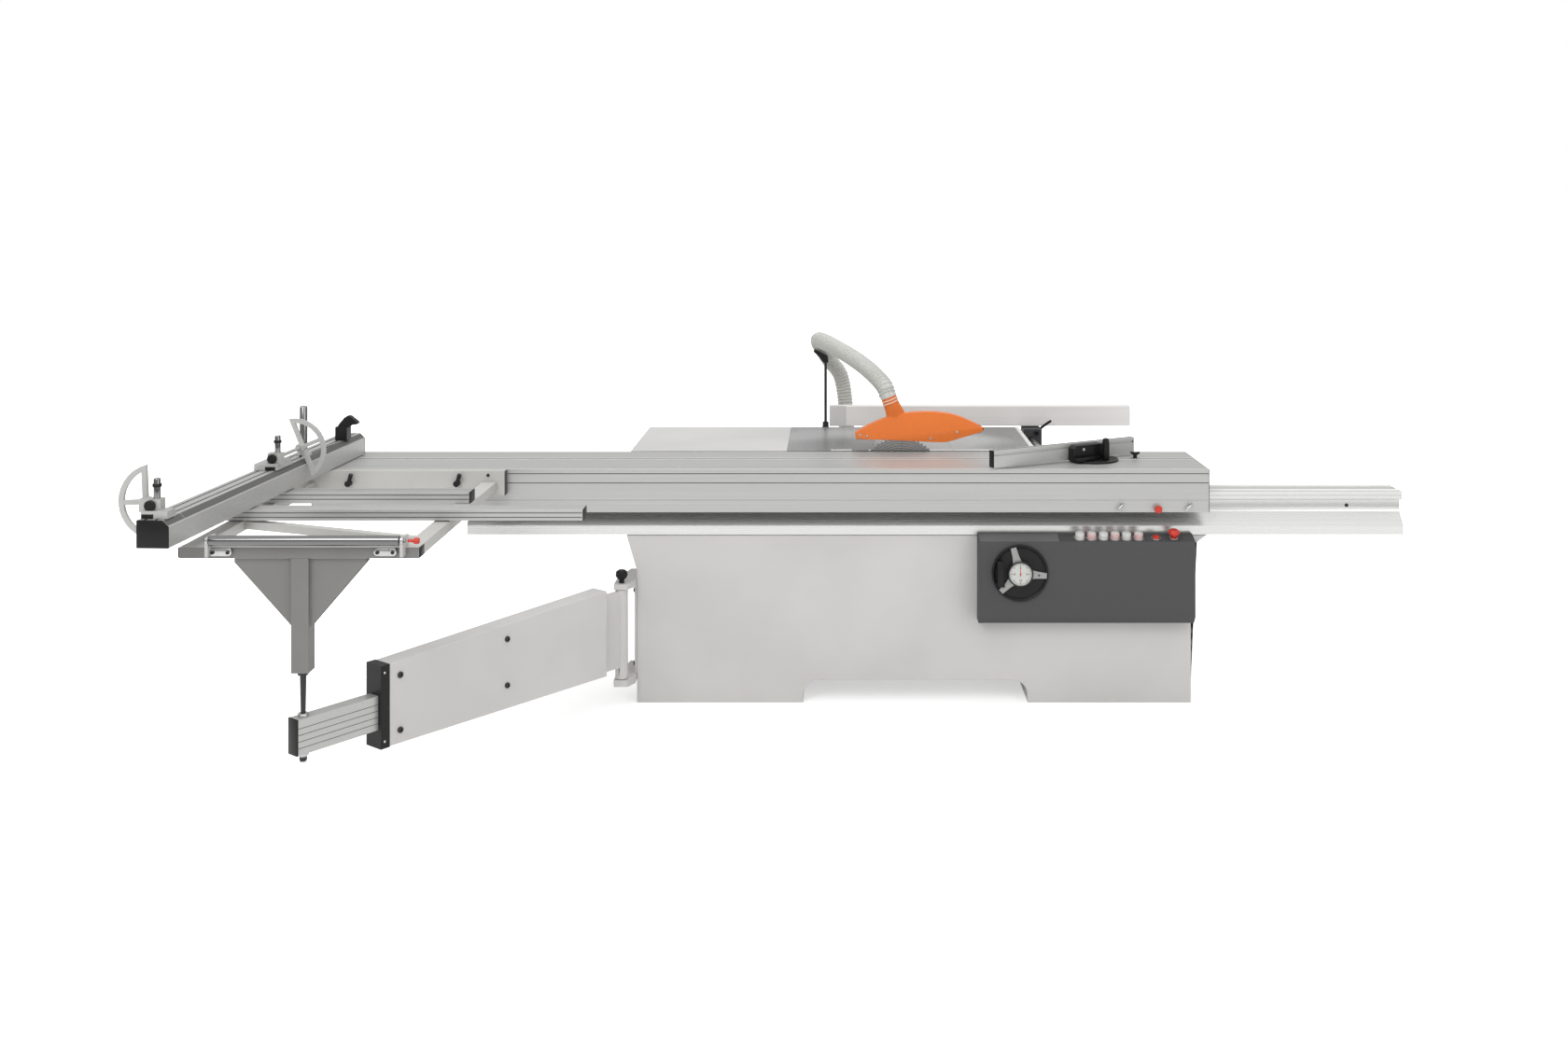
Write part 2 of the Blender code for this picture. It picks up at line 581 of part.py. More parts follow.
def build_guard():
    spigot_low = Vector((0.2330, 0.3700, 0.9750))
    spigot_high = Vector((0.1993, 0.3700, 1.0600))
    along = (spigot_high - spigot_low).normalized()
    body = prism("Y", BLADE_Y - 0.016, BLADE_Y + 0.016, GUARD_OUTLINE)
    spigot = rod(spigot_low, spigot_high, 0.030)
    slot_outline = [(0.060, 0.880), (0.552, 0.880), (0.540, 0.934), (0.500, 0.958), (0.4010, 0.984),
                    (0.3430, 0.987), (0.2697, 0.983), (0.1943, 0.966), (0.1306, 0.9505), (0.060, 0.9505)]
    slot = prism("Y", BLADE_Y - 0.012, BLADE_Y + 0.012, slot_outline)
    spigot_bore = rod(spigot_high - along * 0.060, spigot_high + along * 0.010, 0.0265)
    piece("blade_guard", body, ORANGE, joins=[spigot], cuts=[slot, spigot_bore])


# Dust hose and its support

def smooth_route(points, steps, start, end):
    """A Catmull-Rom curve through the points, with short straight ends that face start and end squarely."""
    points = [Vector(p) for p in points]
    start, end = Vector(start), Vector(end)
    lead = (points[0] - start).normalized() * (points[1] - points[0]).length
    tail = (end - points[-1]).normalized() * (points[-1] - points[-2]).length
    ends = [points[1] - 2 * lead, *points, points[-2] + 2 * tail]
    route = [start]
    for a, b, c, d in zip(ends, ends[1:], ends[2:], ends[3:]):
        for i in range(steps):
            t = i / steps
            route.append(0.5 * (2 * b + (c - a) * t + (2 * a - 5 * b + 4 * c - d) * t ** 2
                                + (3 * b - a - 3 * c + d) * t ** 3))
    return [*route, points[-1], end]


def hose_curve(radius):
    route = smooth_route(HOSE_ROUTE, HOSE_STEPS, HOSE_START, HOSE_END)
    curve = bpy.data.curves.new("dust_hose", "CURVE")
    curve.dimensions = "3D"
    curve.bevel_depth = radius
    curve.bevel_resolution = 3
    curve.use_fill_caps = True
    spline = curve.splines.new("POLY")
    spline.points.add(len(route) - 1)
    for point, place in zip(spline.points, route):
        point.co = (*place, 1.0)
    return curve


def build_hose():
    curve = hose_curve(HOSE_RADIUS)
    curve.materials.append(material(HOSE))
    hose = bpy.data.objects.new("dust_hose", curve)
    hose.parent = MACHINE
    PARTS.objects.link(hose)


def build_hose_support():
    post = rod((HOSE_POST_X, HOSE_POST_Y, 0.815), (HOSE_POST_X, HOSE_POST_Y, 1.120), 0.006, sides=16)
    clamp = box((HOSE_POST_X - 0.015, FIXED_TABLE_BACK + GAP, 0.805), (HOSE_POST_X + 0.015, 1.036, 0.846))
    collar = rod((HOSE_POST_X, HOSE_POST_Y, 0.846), (HOSE_POST_X, HOSE_POST_Y, 0.868), 0.013, sides=16)
    piece("hose_post", post, BLACK, joins=[clamp, collar])
    saddle = prism("Y", HOSE_POST_Y - 0.030, HOSE_POST_Y + 0.010,
                   [(-0.055, 1.1215), (-0.033, 1.1215), (-0.036, 1.150), (-0.070, 1.166), (-0.092, 1.178),
                    (-0.096, 1.167), (-0.072, 1.146)])
    seat_curve = bpy.data.objects.new("hose seat", hose_curve(HOSE_RADIUS + 0.0025))
    CUTTERS.objects.link(seat_curve)
    seat = curve_to_mesh(seat_curve)
    piece("hose_saddle", saddle, BLACK, cuts=[seat])
    flange = box((PORT_X - 0.060, CABINET_BACK + GAP, PORT_Z - 0.060),
                 (PORT_X + 0.060, CABINET_BACK + 0.006, PORT_Z + 0.060))
    stub = rod((PORT_X, CABINET_BACK + GAP, PORT_Z), (PORT_X, 0.965, PORT_Z), PORT_RADIUS + 0.007)
    bore = rod((PORT_X, 0.880, PORT_Z), (PORT_X, 0.980, PORT_Z), PORT_RADIUS)
    piece("dust_port", flange, DARK, joins=[stub], cuts=[bore])


# Sliding table, its carriage and the fences on it

def build_sliding_table():
    under = TABLE_TOP - PLATE_THICK
    section = [(0.0, SKIRT_BOTTOM), (SKIRT_THICK, SKIRT_BOTTOM), (SKIRT_THICK, under), (0.225, under),
               (0.225, 0.765), (0.245, 0.765), (0.245, under), (0.345, 0.832), (TABLE_DEPTH, TABLE_TOP - 0.0015),
               (TABLE_DEPTH, TABLE_TOP), (0.228, TABLE_TOP), (0.228, 0.8385), (0.212, 0.8385), (0.212, TABLE_TOP),
               (0.0, TABLE_TOP)]
    piece("sliding_table", prism("X", TABLE_LOW_X, TABLE_HIGH_X, section), ALUMINIUM)
    knob = turned([(0.0, 0.026), (0.012, 0.025), (0.0145, 0.019), (0.0120, 0.012), (0.0060, 0.010),
                   (0.0060, 0.0), (0.0, 0.0)], Vector((1.147, -GAP, 0.710)), (0.0, -1.0, 0.0))
    piece("table_lock_knob", knob, RED)
    carriage = box((-0.610, 0.066, 0.7600), (0.690, 0.184, 0.776))
    joins = []
    for x in (-0.560, -0.140, 0.220, 0.640):
        joins.append(box((x - 0.045, 0.075, 0.770), (x + 0.045, 0.175, 0.8335)))
    piece("roller_carriage", carriage, DARK, joins=joins)


FRAME_RIGHT = (-1.2557, -1.2057)
FRAME_LEFT = (-1.8990, -1.8500)


def build_outrigger():
    front = box((FRAME_LEFT[0], -1.040, FRAME_LOW), (FRAME_RIGHT[1], -0.990, FRAME_HIGH))
    rear = box((-1.930, -0.035, 0.763), (-1.177, -0.003, TABLE_TOP))
    joins = [rear]
    for low, high in (FRAME_LEFT, FRAME_RIGHT):
        joins.append(box((low, -1.000, FRAME_LOW + 0.0003), (high, -0.030, FRAME_HIGH - 0.0003)))
    brace = [(-1.870, -0.665), (-1.860, -0.635), (-1.225, -0.880), (-1.235, -0.910)]
    joins.append(prism("Z", FRAME_LOW + 0.004, FRAME_HIGH - 0.004, brace))
    cuts = []
    for low, high in ((-1.8130, -1.8040), (-1.2530, -1.2440)):
        joins.append(box((low, -1.0700, FRAME_LOW + 0.010), (high, -1.010, 0.8450)))
        cuts.append(rod((low - 0.01, ROLLER_Y, ROLLER_Z), (high + 0.01, ROLLER_Y, ROLLER_Z), 0.0062, sides=16))
    piece("outrigger_frame", front, PAINT, joins=joins, cuts=cuts)
    roller = rod((-1.8010, ROLLER_Y, ROLLER_Z), (-1.2560, ROLLER_Y, ROLLER_Z), 0.015)
    spindle = rod((-1.8190, ROLLER_Y, ROLLER_Z), (-1.2380, ROLLER_Y, ROLLER_Z), 0.0055, sides=16)
    piece("edge_roller", roller, STEEL, joins=[spindle], pivot=(-1.5285, ROLLER_Y, ROLLER_Z))
    piece("mid_beam", box((-1.930, -0.420, FRAME_HIGH + GAP), (-1.210, -0.350, TABLE_TOP)), ALUMINIUM)
    piece("extension_bar", box((-1.930, -0.695, FRAME_HIGH + 0.003), (-0.790, -0.632, TABLE_TOP)), ALUMINIUM)
    for name, x in (("clamp_lever_left", -1.727), ("clamp_lever_right", -1.343)):
        hub = rod((x, -0.0355, 0.808), (x, -0.058, 0.808), 0.011, sides=16)
        handle = rod((x, -0.050, 0.808), (x + 0.012, -0.056, 0.842), 0.006, end_radius=0.008, sides=12)
        piece(name, hub, BLACK, joins=[handle], pivot=(x, -0.050, 0.808))
    post = box((-1.576, -1.040, 0.4466), (-1.525, -0.985, FRAME_LOW - GAP))
    gusset = [(-1.745, FRAME_LOW - GAP), (-1.363, FRAME_LOW - GAP), (-1.363, 0.765), (-1.5255, 0.576),
              (-1.5755, 0.576), (-1.745, 0.765)]
    plates = [prism("Y", low, low + 0.004, gusset) for low in (-1.0260, -0.9920)]
    piece("outrigger_post", post, PAINT, joins=plates)
    tip = rod((POST_X, POST_Y, 0.317), (POST_X, POST_Y, 0.4461), 0.00675, end_radius=0.0095, sides=16)
    nut = rod((POST_X, POST_Y, 0.436), (POST_X, POST_Y, 0.4461), 0.016, sides=6)
    piece("post_rod", tip, BLACK, joins=[nut])


def fence_section(inset=0.0):
    half = FENCE_HALF_WIDTH - inset
    low, high = FENCE_LOW + inset, FENCE_HIGH - inset
    return [(-half, low), (half, low), (half, 0.912), (half - 0.018, high), (-half, high)]


def build_crosscut_fence():
    """The fence's local Y runs along it, from the near end to the far end."""
    main = prism("Y", FENCE_SEAM + 0.0006, FENCE_FAR, fence_section())
    sleeve = box((-0.034, FENCE_SEAM - 0.01, 0.862), (0.034, FENCE_SEAM + 0.960, 0.906))
    slots = [box((x - 0.004, FENCE_SEAM - 0.01, 0.922), (x + 0.004, FENCE_FAR + 0.01, 0.935)) for x in (-0.026, 0.006)]
    post = rod((*FENCE_POST, 0.925), (*FENCE_POST, 1.101), 0.0125)
    post_x, post_y = FENCE_POST
    foot = box((post_x - 0.020, post_y - 0.022, 0.9292), (post_x + 0.018, post_y + 0.026, 0.942))
    pivot_pin = rod((0.0, 0.0, TABLE_TOP + GAP), (0.0, 0.0, 0.858), 0.020)
    piece("crosscut_fence", main, ALUMINIUM, joins=[post, foot, pivot_pin], cuts=[sleeve, *slots], parent=FENCE)
    head = prism("Y", FENCE_NEAR, FENCE_SEAM, fence_section())
    tongue = box((-0.033, FENCE_SEAM - 0.005, 0.863), (0.033, FENCE_SEAM + 0.930, 0.905))
    head_slots = [box((x - 0.004, FENCE_NEAR - 0.01, 0.922), (x + 0.004, FENCE_SEAM + 0.01, 0.935))
                  for x in (-0.026, 0.006)]
    piece("fence_extension", head, ALUMINIUM, joins=[tongue], cuts=head_slots, parent=FENCE)
    lever_base = box((-0.004, -0.113, FENCE_HIGH + GAP), (0.040, -0.067, 0.980))
    hook = prism("Y", -0.103, -0.077, [(-0.003, 0.974), (0.039, 0.974), (0.052, 0.986), (0.074, 0.988), (0.077, 0.995),
                                       (0.048, 1.018), (0.038, 1.020), (0.026, 1.012), (0.008, 0.991)])
    piece("hold_down_lever", hook, BLACK, joins=[lever_base], pivot=(0.018, -0.090, 0.940), parent=FENCE)


def d_outline(half_chord, bulge, bar, count=14):
    """Outline of a D: straight chord along v at u = 0, arc bulging to +u, inset by bar."""
    radius = (half_chord ** 2 + bulge ** 2) / (2 * bulge)
    centre = bulge - radius
    inner_radius = radius - bar
    reach = math.degrees(math.acos(max(-1.0, min(1.0, (bar - centre) / inner_radius))))
    return arc((centre, 0.0), inner_radius, -reach, reach, count)


def stop_ring(centre, lean, side):
    """D-shaped flip stop: chord, arc and spoke in a plane across the fence."""
    half_chord = 0.105
    bulge = 0.085
    bar = 0.0150
    turn = Matrix.Rotation(lean, 2)

    def placed(points):
        moved = [turn @ Vector((side * u, v)) for u, v in points]
        return [(centre[0] + p.x, centre[2] + p.y) for p in moved]

    low, high = centre[1] - 0.005, centre[1] + 0.005
    ring = prism("Y", low, high, placed(d_outline(half_chord, bulge, 0.0)),
                 holes=[placed(d_outline(half_chord, bulge, bar))])
    spoke = prism("Y", low + 0.0004, high - 0.0004,
                  placed([(0.004, -0.007), (bulge - 0.005, -0.007), (bulge - 0.005, 0.007), (0.004, 0.007)]))
    hub = rod((centre[0], low - 0.008, centre[2]), (centre[0], high + 0.0006, centre[2]), 0.015)
    bore = rod((centre[0], low - 0.02, centre[2]), (centre[0], high + 0.02, centre[2]), 0.0065, sides=16)
    return ring, [spoke, hub], [bore]


STOPS = [
    {"name": "near", "x": -0.051, "y": -1.402, "z": 0.966, "side": -1, "lean": math.radians(2.5),
     "reach": 0.0145, "length": 0.048, "shift": 0.028},
    {"name": "far", "x": 0.022, "y": -0.494, "z": 0.9685, "side": 1, "lean": math.radians(22.5),
     "reach": 0.106, "length": 0.124, "shift": -0.010},
]


def build_stops():
    for stop in STOPS:
        x, y, z = stop["x"], stop["y"], stop["z"]
        ring, joins, cuts = stop_ring((x, y, z), stop["lean"], stop["side"])
        piece("stop_ring_" + stop["name"], ring, ALUMINIUM, joins=joins, cuts=cuts, pivot=(x, y, z), parent=FENCE)
        back = y - stop["reach"]
        front = back - stop["length"]
        body_x = x + stop["shift"]
        block = box((-0.042, front, FENCE_HIGH + GAP), (0.034, back, 0.952))
        riser = box((min(body_x - 0.017, x - 0.006), front + 0.018, 0.945), (body_x + 0.028, front + 0.048, z + 0.016))
        pin = rod((x, front + 0.038, z), (x, y + 0.007, z), 0.006, sides=16)
        screw_x = body_x + 0.012
        screw = rod((screw_x, front + 0.032, z + 0.014), (screw_x, front + 0.032, z + 0.071), 0.009, sides=16)
        knob = rod((body_x, front + 0.019, z - 0.002), (body_x, front + 0.008, z - 0.002), 0.014)
        piece("stop_block_" + stop["name"], block, ALUMINIUM, joins=[riser, pin, screw, knob], parent=FENCE)


def build_mitre_fence():
    """The mitre frame's local X runs along the bar, its local Y points to the blade."""
    centre = (0.015, 0.0)
    half_disc = arc(centre, 0.100, 180, 360, 20)
    plate = prism("Z", MITRE_LOW, MITRE_LOW + 0.0045, half_disc)
    hub = rod((0.0, MITRE_HUB_Y, MITRE_LOW), (0.0, MITRE_HUB_Y, 0.886), 0.016)
    knob = turned([(0.0, 0.056), (0.011, 0.055), (0.014, 0.048), (0.012, 0.020), (0.008, 0.0), (0.0, 0.0)],
                  Vector((0.0, MITRE_HUB_Y, 0.880)), (0.0, 0.0, 1.0))
    lip = prism("Z", MITRE_LOW + 0.0004, MITRE_LOW + 0.014, arc(centre, 0.0995, 215, 325, 14)
                + arc(centre, 0.091, 325, 215, 14))
    piece("mitre_head", plate, BLACK, joins=[lip, hub, knob], pivot=(0.0, 0.0, MITRE_LOW), parent=MITRE)
    bar = box((-0.420, 0.0010, MITRE_LOW + 0.0055), (0.216, 0.026, MITRE_HIGH))
    groove = box((-0.430, -0.002, 0.898), (0.230, 0.0050, 0.905))
    piece("mitre_bar", bar, ALUMINIUM, cuts=[groove], pivot=(0.0, 0.0, MITRE_LOW), parent=MITRE)


# Swing arm under the outrigger

def build_arm_bracket():
    low_plate = (0.083, 0.1065)
    high_plate = (0.4275, 0.447)
    wall_x = CABINET_LOW_X - GAP
    outline = [(-0.790, -0.034), (-0.742, -0.034), (wall_x, 0.010), (wall_x, 0.200), (-0.760, 0.200), (-0.790, 0.040)]
    backing = box((wall_x - 0.008, 0.052, low_plate[0]), (wall_x, 0.200, high_plate[1]))
    plates = [prism("Z", low, high, outline) for low, high in (low_plate, high_plate)]
    pin = rod((ARM_PIVOT.x, ARM_PIVOT.y, 0.080), (ARM_PIVOT.x, ARM_PIVOT.y, 0.446), 0.010)
    piece("arm_bracket", backing, PAINT, joins=[*plates, pin])
    knob = turned([(0.0, 0.046), (0.012, 0.046), (0.020, 0.040), (0.022, 0.026), (0.016, 0.016), (0.010, 0.012),
                   (0.010, 0.0), (0.0, 0.0)], Vector((ARM_PIVOT.x, ARM_PIVOT.y, 0.4475)), (0.0, 0.0, 1.0))
    piece("arm_lock_knob", knob, BLACK)


def arm_side_outline(start, end, inset):
    """Side outline (local X, Z) of the tapered arm body."""
    def top(s):
        return 0.445 - 0.038 * (s - ARM_BODY_START) / (ARM_BODY_END - ARM_BODY_START) - inset

    def bottom(s):
        return 0.146 + 0.012 * (s - ARM_BODY_START) / (ARM_BODY_END - ARM_BODY_START) + inset

    return [(start, bottom(start)), (end, bottom(end)), (end, top(end)), (start, top(start))]


def build_swing_arm():
    """The arm frame's local X runs out along the arm from its hinge."""
    half = ARM_THICK / 2
    wall = 0.004
    body = prism("Y", -half, half, arm_side_outline(ARM_BODY_START, ARM_BODY_END, 0.0))
    web = box((0.015, -0.010, 0.150), (ARM_BODY_START + 0.002, 0.010, 0.420))
    hinge_tube = rod((0.0, 0.0, 0.108), (0.0, 0.0, 0.426), 0.0225)
    hollow = prism("Y", -half + wall, half - wall, arm_side_outline(ARM_BODY_START + wall, 1.005, wall))
    mouth = box((0.980, -BEAM_WIDTH / 2 - 0.0015, BEAM_LOW - 0.0015), (ARM_BODY_END + 0.01, BEAM_WIDTH / 2 + 0.0015,
                                                                      BEAM_HIGH + 0.0015))
    bore = rod((0.0, 0.0, 0.090), (0.0, 0.0, 0.440), 0.0106)
    piece("swing_arm", body, PAINT, joins=[web, hinge_tube], cuts=[hollow, mouth, bore], parent=ARM)
    beam = box((0.325, -BEAM_WIDTH / 2, BEAM_LOW), (ARM_REACH + 0.030, BEAM_WIDTH / 2, BEAM_HIGH))
    bolt = rod((ARM_REACH, 0.0, 0.183), (ARM_REACH, 0.0, BEAM_LOW + 0.005), 0.0095, sides=16)
    piece("inner_beam", beam, ALUMINIUM, joins=[bolt], parent=ARM)


# Rip fence

def build_rip_fence():
    low_z, high_z = GUIDE_BAR_Z - 0.014, GUIDE_BAR_Z + 0.014
    bar = rod((GUIDE_BAR_X, 0.386, GUIDE_BAR_Z), (GUIDE_BAR_X, 1.120, GUIDE_BAR_Z), 0.013)
    strip = box((CAST_HIGH_X + GAP, 0.386, low_z), (0.778, 1.120, high_z))
    ends = [box((0.774, low, low_z), (GUIDE_BAR_X + 0.014, low + 0.010, high_z)) for low in (0.386, 1.110)]
    piece("rip_guide_bar", bar, STEEL, joins=[strip, *ends])
    block = box((0.788, 0.960, 0.776), (0.864, 1.072, 0.846))
    upright = box((0.800, 1.0565, 0.840), (0.850, 1.072, 0.925))
    bore = rod((GUIDE_BAR_X, 0.950, GUIDE_BAR_Z), (GUIDE_BAR_X, 1.090, GUIDE_BAR_Z), 0.0136)
    piece("rip_head", block, DARK, joins=[upright], cuts=[bore])
    fence = box((-0.0277, RIP_FACE_Y, FENCE_BAR_LOW), (1.2446, 1.056, FENCE_BAR_HIGH))
    slot = box((-0.04, 1.050, 0.885), (1.26, 1.060, 0.900))
    piece("rip_fence", fence, ALUMINIUM, cuts=[slot])


def main():
    build_cabinet()
    build_rail()
    build_fixed_tables()
    build_control_box()
    build_buttons()
    build_handwheel()
    build_trunnions()
    build_tilt_cradle()
    build_lift_carriage()
    build_motor()
    build_belt()
    build_arbor_and_blades()
    build_riving_knife()
    build_guard()
    build_hose()
    build_hose_support()
    build_sliding_table()
    build_outrigger()
    build_crosscut_fence()
    build_stops()
    build_mitre_fence()
    build_arm_bracket()
    build_swing_arm()
    build_rip_fence()
    bpy.context.view_layer.update()


main()
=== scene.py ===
"""Finishes and small pieces of a sliding-table panel saw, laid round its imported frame.

Lengths are metres. Places are written in the layout frame: X along the sliding table, Y from its front face
towards the rip fence, Z up from the floor. home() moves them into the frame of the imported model.
"""
import json
import math

import bmesh
import bpy
import numpy as np
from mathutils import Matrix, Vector

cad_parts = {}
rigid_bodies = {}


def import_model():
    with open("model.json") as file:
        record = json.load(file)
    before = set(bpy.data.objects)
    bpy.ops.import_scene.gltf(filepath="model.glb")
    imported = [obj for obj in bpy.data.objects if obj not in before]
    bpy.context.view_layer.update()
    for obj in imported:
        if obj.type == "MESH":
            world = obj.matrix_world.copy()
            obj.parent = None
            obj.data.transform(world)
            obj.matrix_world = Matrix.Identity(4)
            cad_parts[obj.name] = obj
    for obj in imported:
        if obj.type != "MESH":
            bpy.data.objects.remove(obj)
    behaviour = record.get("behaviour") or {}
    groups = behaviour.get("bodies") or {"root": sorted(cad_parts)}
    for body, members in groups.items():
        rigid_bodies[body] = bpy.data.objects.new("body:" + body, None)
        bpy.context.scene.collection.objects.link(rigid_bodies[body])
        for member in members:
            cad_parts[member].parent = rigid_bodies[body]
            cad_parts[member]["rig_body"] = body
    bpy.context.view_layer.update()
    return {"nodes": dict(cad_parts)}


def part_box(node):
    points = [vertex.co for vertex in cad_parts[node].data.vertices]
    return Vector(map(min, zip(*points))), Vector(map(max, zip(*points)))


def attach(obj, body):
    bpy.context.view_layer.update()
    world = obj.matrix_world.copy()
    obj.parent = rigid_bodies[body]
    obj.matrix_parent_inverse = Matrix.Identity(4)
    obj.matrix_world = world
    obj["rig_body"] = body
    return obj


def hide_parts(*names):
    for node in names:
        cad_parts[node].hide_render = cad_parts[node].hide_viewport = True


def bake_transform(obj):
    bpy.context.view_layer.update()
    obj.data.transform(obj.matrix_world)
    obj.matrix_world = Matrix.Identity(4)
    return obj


bl_info = {
    "name": "Sliding-table panel saw",
    "version": (1, 0, 0),
    "blender": (4, 5, 0),
    "location": "3D View > Sidebar > Panel saw",
    "description": "Builds the finishes and small pieces of a sliding-table panel saw",
    "category": "Object",
}

for leftover in list(bpy.data.objects):
    bpy.data.objects.remove(leftover, do_unlink=True)
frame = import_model()
NODES = frame["nodes"]

# The sliding table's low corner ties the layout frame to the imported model
TABLE_LOW_X, TABLE_HIGH_X, TABLE_TOP, TABLE_DEPTH = -1.87, 1.33, 0.85, 0.375
HOME = np.array([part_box("sliding_table")[0].x - TABLE_LOW_X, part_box("sliding_table")[0].y, 0.0])

MM = 0.001


def home(points):
    """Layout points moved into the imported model's frame."""
    return np.asarray(points, float) + HOME


# Turned frames of the arm, the crosscut fence and the mitre fence: (pivot, angle about Z in degrees)
ARM_FRAME = ((-0.765, -0.01, 0.0), 232.04)
FENCE_FRAME = ((-1.8266, 0.2507, 0.0), -2.496)
MITRE_FRAME = ((0.93, 0.19, 0.0), 29.0)
PLAIN_FRAME = ((0.0, 0.0, 0.0), 0.0)
# Edge and steps of the marks and thin strips laid on a face
MARK, THIN, SHEET, GROOVE = (0.00005, 2), (0.0002, 2), (0.0003, 2), (0.0004, 2)
BLADE_CENTRE = (0.2455, 0.385, 0.747)
ALONG, BACK, FRONT, UP, DOWN = (1, 0, 0), (0, 1, 0), (0, -1, 0), (0, 0, 1), (0, 0, -1)


def turned_into(points, place):
    """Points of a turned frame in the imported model's frame: a rotation about Z, then a shift to the pivot."""
    pivot, degrees = place
    c, s = math.cos(math.radians(degrees)), math.sin(math.radians(degrees))
    spin = np.array([[c, -s, 0.0], [s, c, 0.0], [0.0, 0.0, 1.0]])
    return home(np.asarray(points, float) @ spin.T + np.array(pivot))


# ---------------------------------------------------------------------------------------------------------
# Surfaces. Each returns (vertices, faces) in its own frame; faces are lists of vertex numbers.

def grid(points, close_columns=True, close_rows=False, caps=True):
    """A rows x columns x 3 array as quads between neighbouring points, with the two end rows filled."""
    rows, columns = points.shape[:2]
    r = np.arange(rows if close_rows else rows - 1)[:, None]
    c = np.arange(columns if close_columns else columns - 1)[None, :]
    r_next, c_next = (r + 1) % rows, (c + 1) % columns
    quads = np.stack([r * columns + c, r * columns + c_next, r_next * columns + c_next, r_next * columns
                      + c], -1)
    faces = quads.reshape(-1, 4).tolist()
    if caps and not close_rows:
        faces.append(np.arange(columns)[::-1].tolist())
        faces.append((np.arange(columns) + (rows - 1) * columns).tolist())
    return points.reshape(-1, 3), faces


def across(direction):
    """Two unit vectors square to a direction and to each other."""
    along = np.asarray(direction, float) / np.linalg.norm(direction)
    guide = np.array([1.0, 0.0, 0.0]) if abs(along[0]) < 0.9 else np.array([0.0, 1.0, 0.0])
    side = np.cross(guide, along)
    side /= np.linalg.norm(side)
    return along, side, np.cross(along, side)


def turned(profile, base, direction, sides):
    """Each (radius, height) of a profile as one ring of points round the line from base."""
    profile = np.asarray(profile, float)
    along, side, other = across(direction)
    turn = np.linspace(0.0, 2.0 * np.pi, sides, endpoint=False)
    circle = np.cos(turn)[:, None] * side + np.sin(turn)[:, None] * other
    return np.asarray(base, float) + profile[:, 1, None, None] * along + profile[:, 0, None, None] * circle


def ring(profile, base, direction, sides):
    """A turned ring: its profile is a closed loop that stays clear of the axis."""
    return grid(turned(profile, base, direction, sides), close_rows=True)


def lathe(profile, base, direction, sides=32):
    """A turned solid: its profile is closed to the axis at both ends, at the height it has there."""
    first, last = ([(0.0, height)] if radius else [] for radius, height in (profile[0], profile[-1]))
    return grid(turned([*first, *profile, *last], base, direction, sides))


def cylinder(radius, low, high, base, direction, sides=32):
    return lathe([(radius, low), (radius, high)], base, direction, sides)


def extrude(section, start, end, u, v):
    """A flat section carried along a straight line: point = start or end + section_u * u + section_v * v."""
    section = np.asarray(section, float)
    flat = section[:, 0, None] * np.asarray(u, float) + section[:, 1, None] * np.asarray(v, float)
    return grid(np.stack([np.asarray(start, float) + flat, np.asarray(end, float) + flat]))


def bar_x(section, low, high):
    """A (Y, Z) section carried along X."""
    return extrude(section, (low, 0, 0), (high, 0, 0), (0, 1, 0), (0, 0, 1))


def tube(path, radius, sides=20):
    """A ring carried along a path, square to its run. Its radius is one number or one for each point."""
    path = np.asarray(path, float)
    radius = np.broadcast_to(np.asarray(radius, float), (len(path),))
    run = np.gradient(path, axis=0)
    run /= np.linalg.norm(run, axis=1)[:, None]
    side = np.cross(run, np.array([0.3, 0.2, 0.93]))
    side /= np.linalg.norm(side, axis=1)[:, None]
    other = np.cross(run, side)
    turn = np.linspace(0.0, 2.0 * np.pi, sides, endpoint=False)
    ring = np.cos(turn)[None, :, None] * side[:, None] + np.sin(turn)[None, :, None] * other[:, None]
    return grid(path[:, None] + radius[:, None, None] * ring)


def block(low, high, edge=0.001, steps=3):
    """A box with rounded edges: a small sphere, its eight parts pushed out to the corners."""
    low, high = np.asarray(low, float), np.asarray(high, float)
    half = (high - low) / 2
    edge = min(edge, *(half * 0.98))
    quarter = np.linspace(0.0, np.pi / 2, steps)
    turn = np.concatenate([quarter + k * np.pi / 2 for k in range(4)])
    side_x = np.repeat([1, -1, -1, 1], steps)
    side_y = np.repeat([1, 1, -1, -1], steps)
    rise = np.concatenate([quarter - np.pi / 2, quarter])
    side_z = np.repeat([-1, 1], steps)
    normal = np.stack([np.cos(rise)[:, None] * np.cos(turn), np.cos(rise)[:, None] * np.sin(turn),
                       np.broadcast_to(np.sin(rise)[:, None], (len(rise), len(turn)))], -1)
    signs = np.stack(np.broadcast_arrays(side_x[None, :], side_y[None, :], side_z[:, None]), -1)
    return grid((low + high) / 2 + signs * (half - edge) + normal * edge)


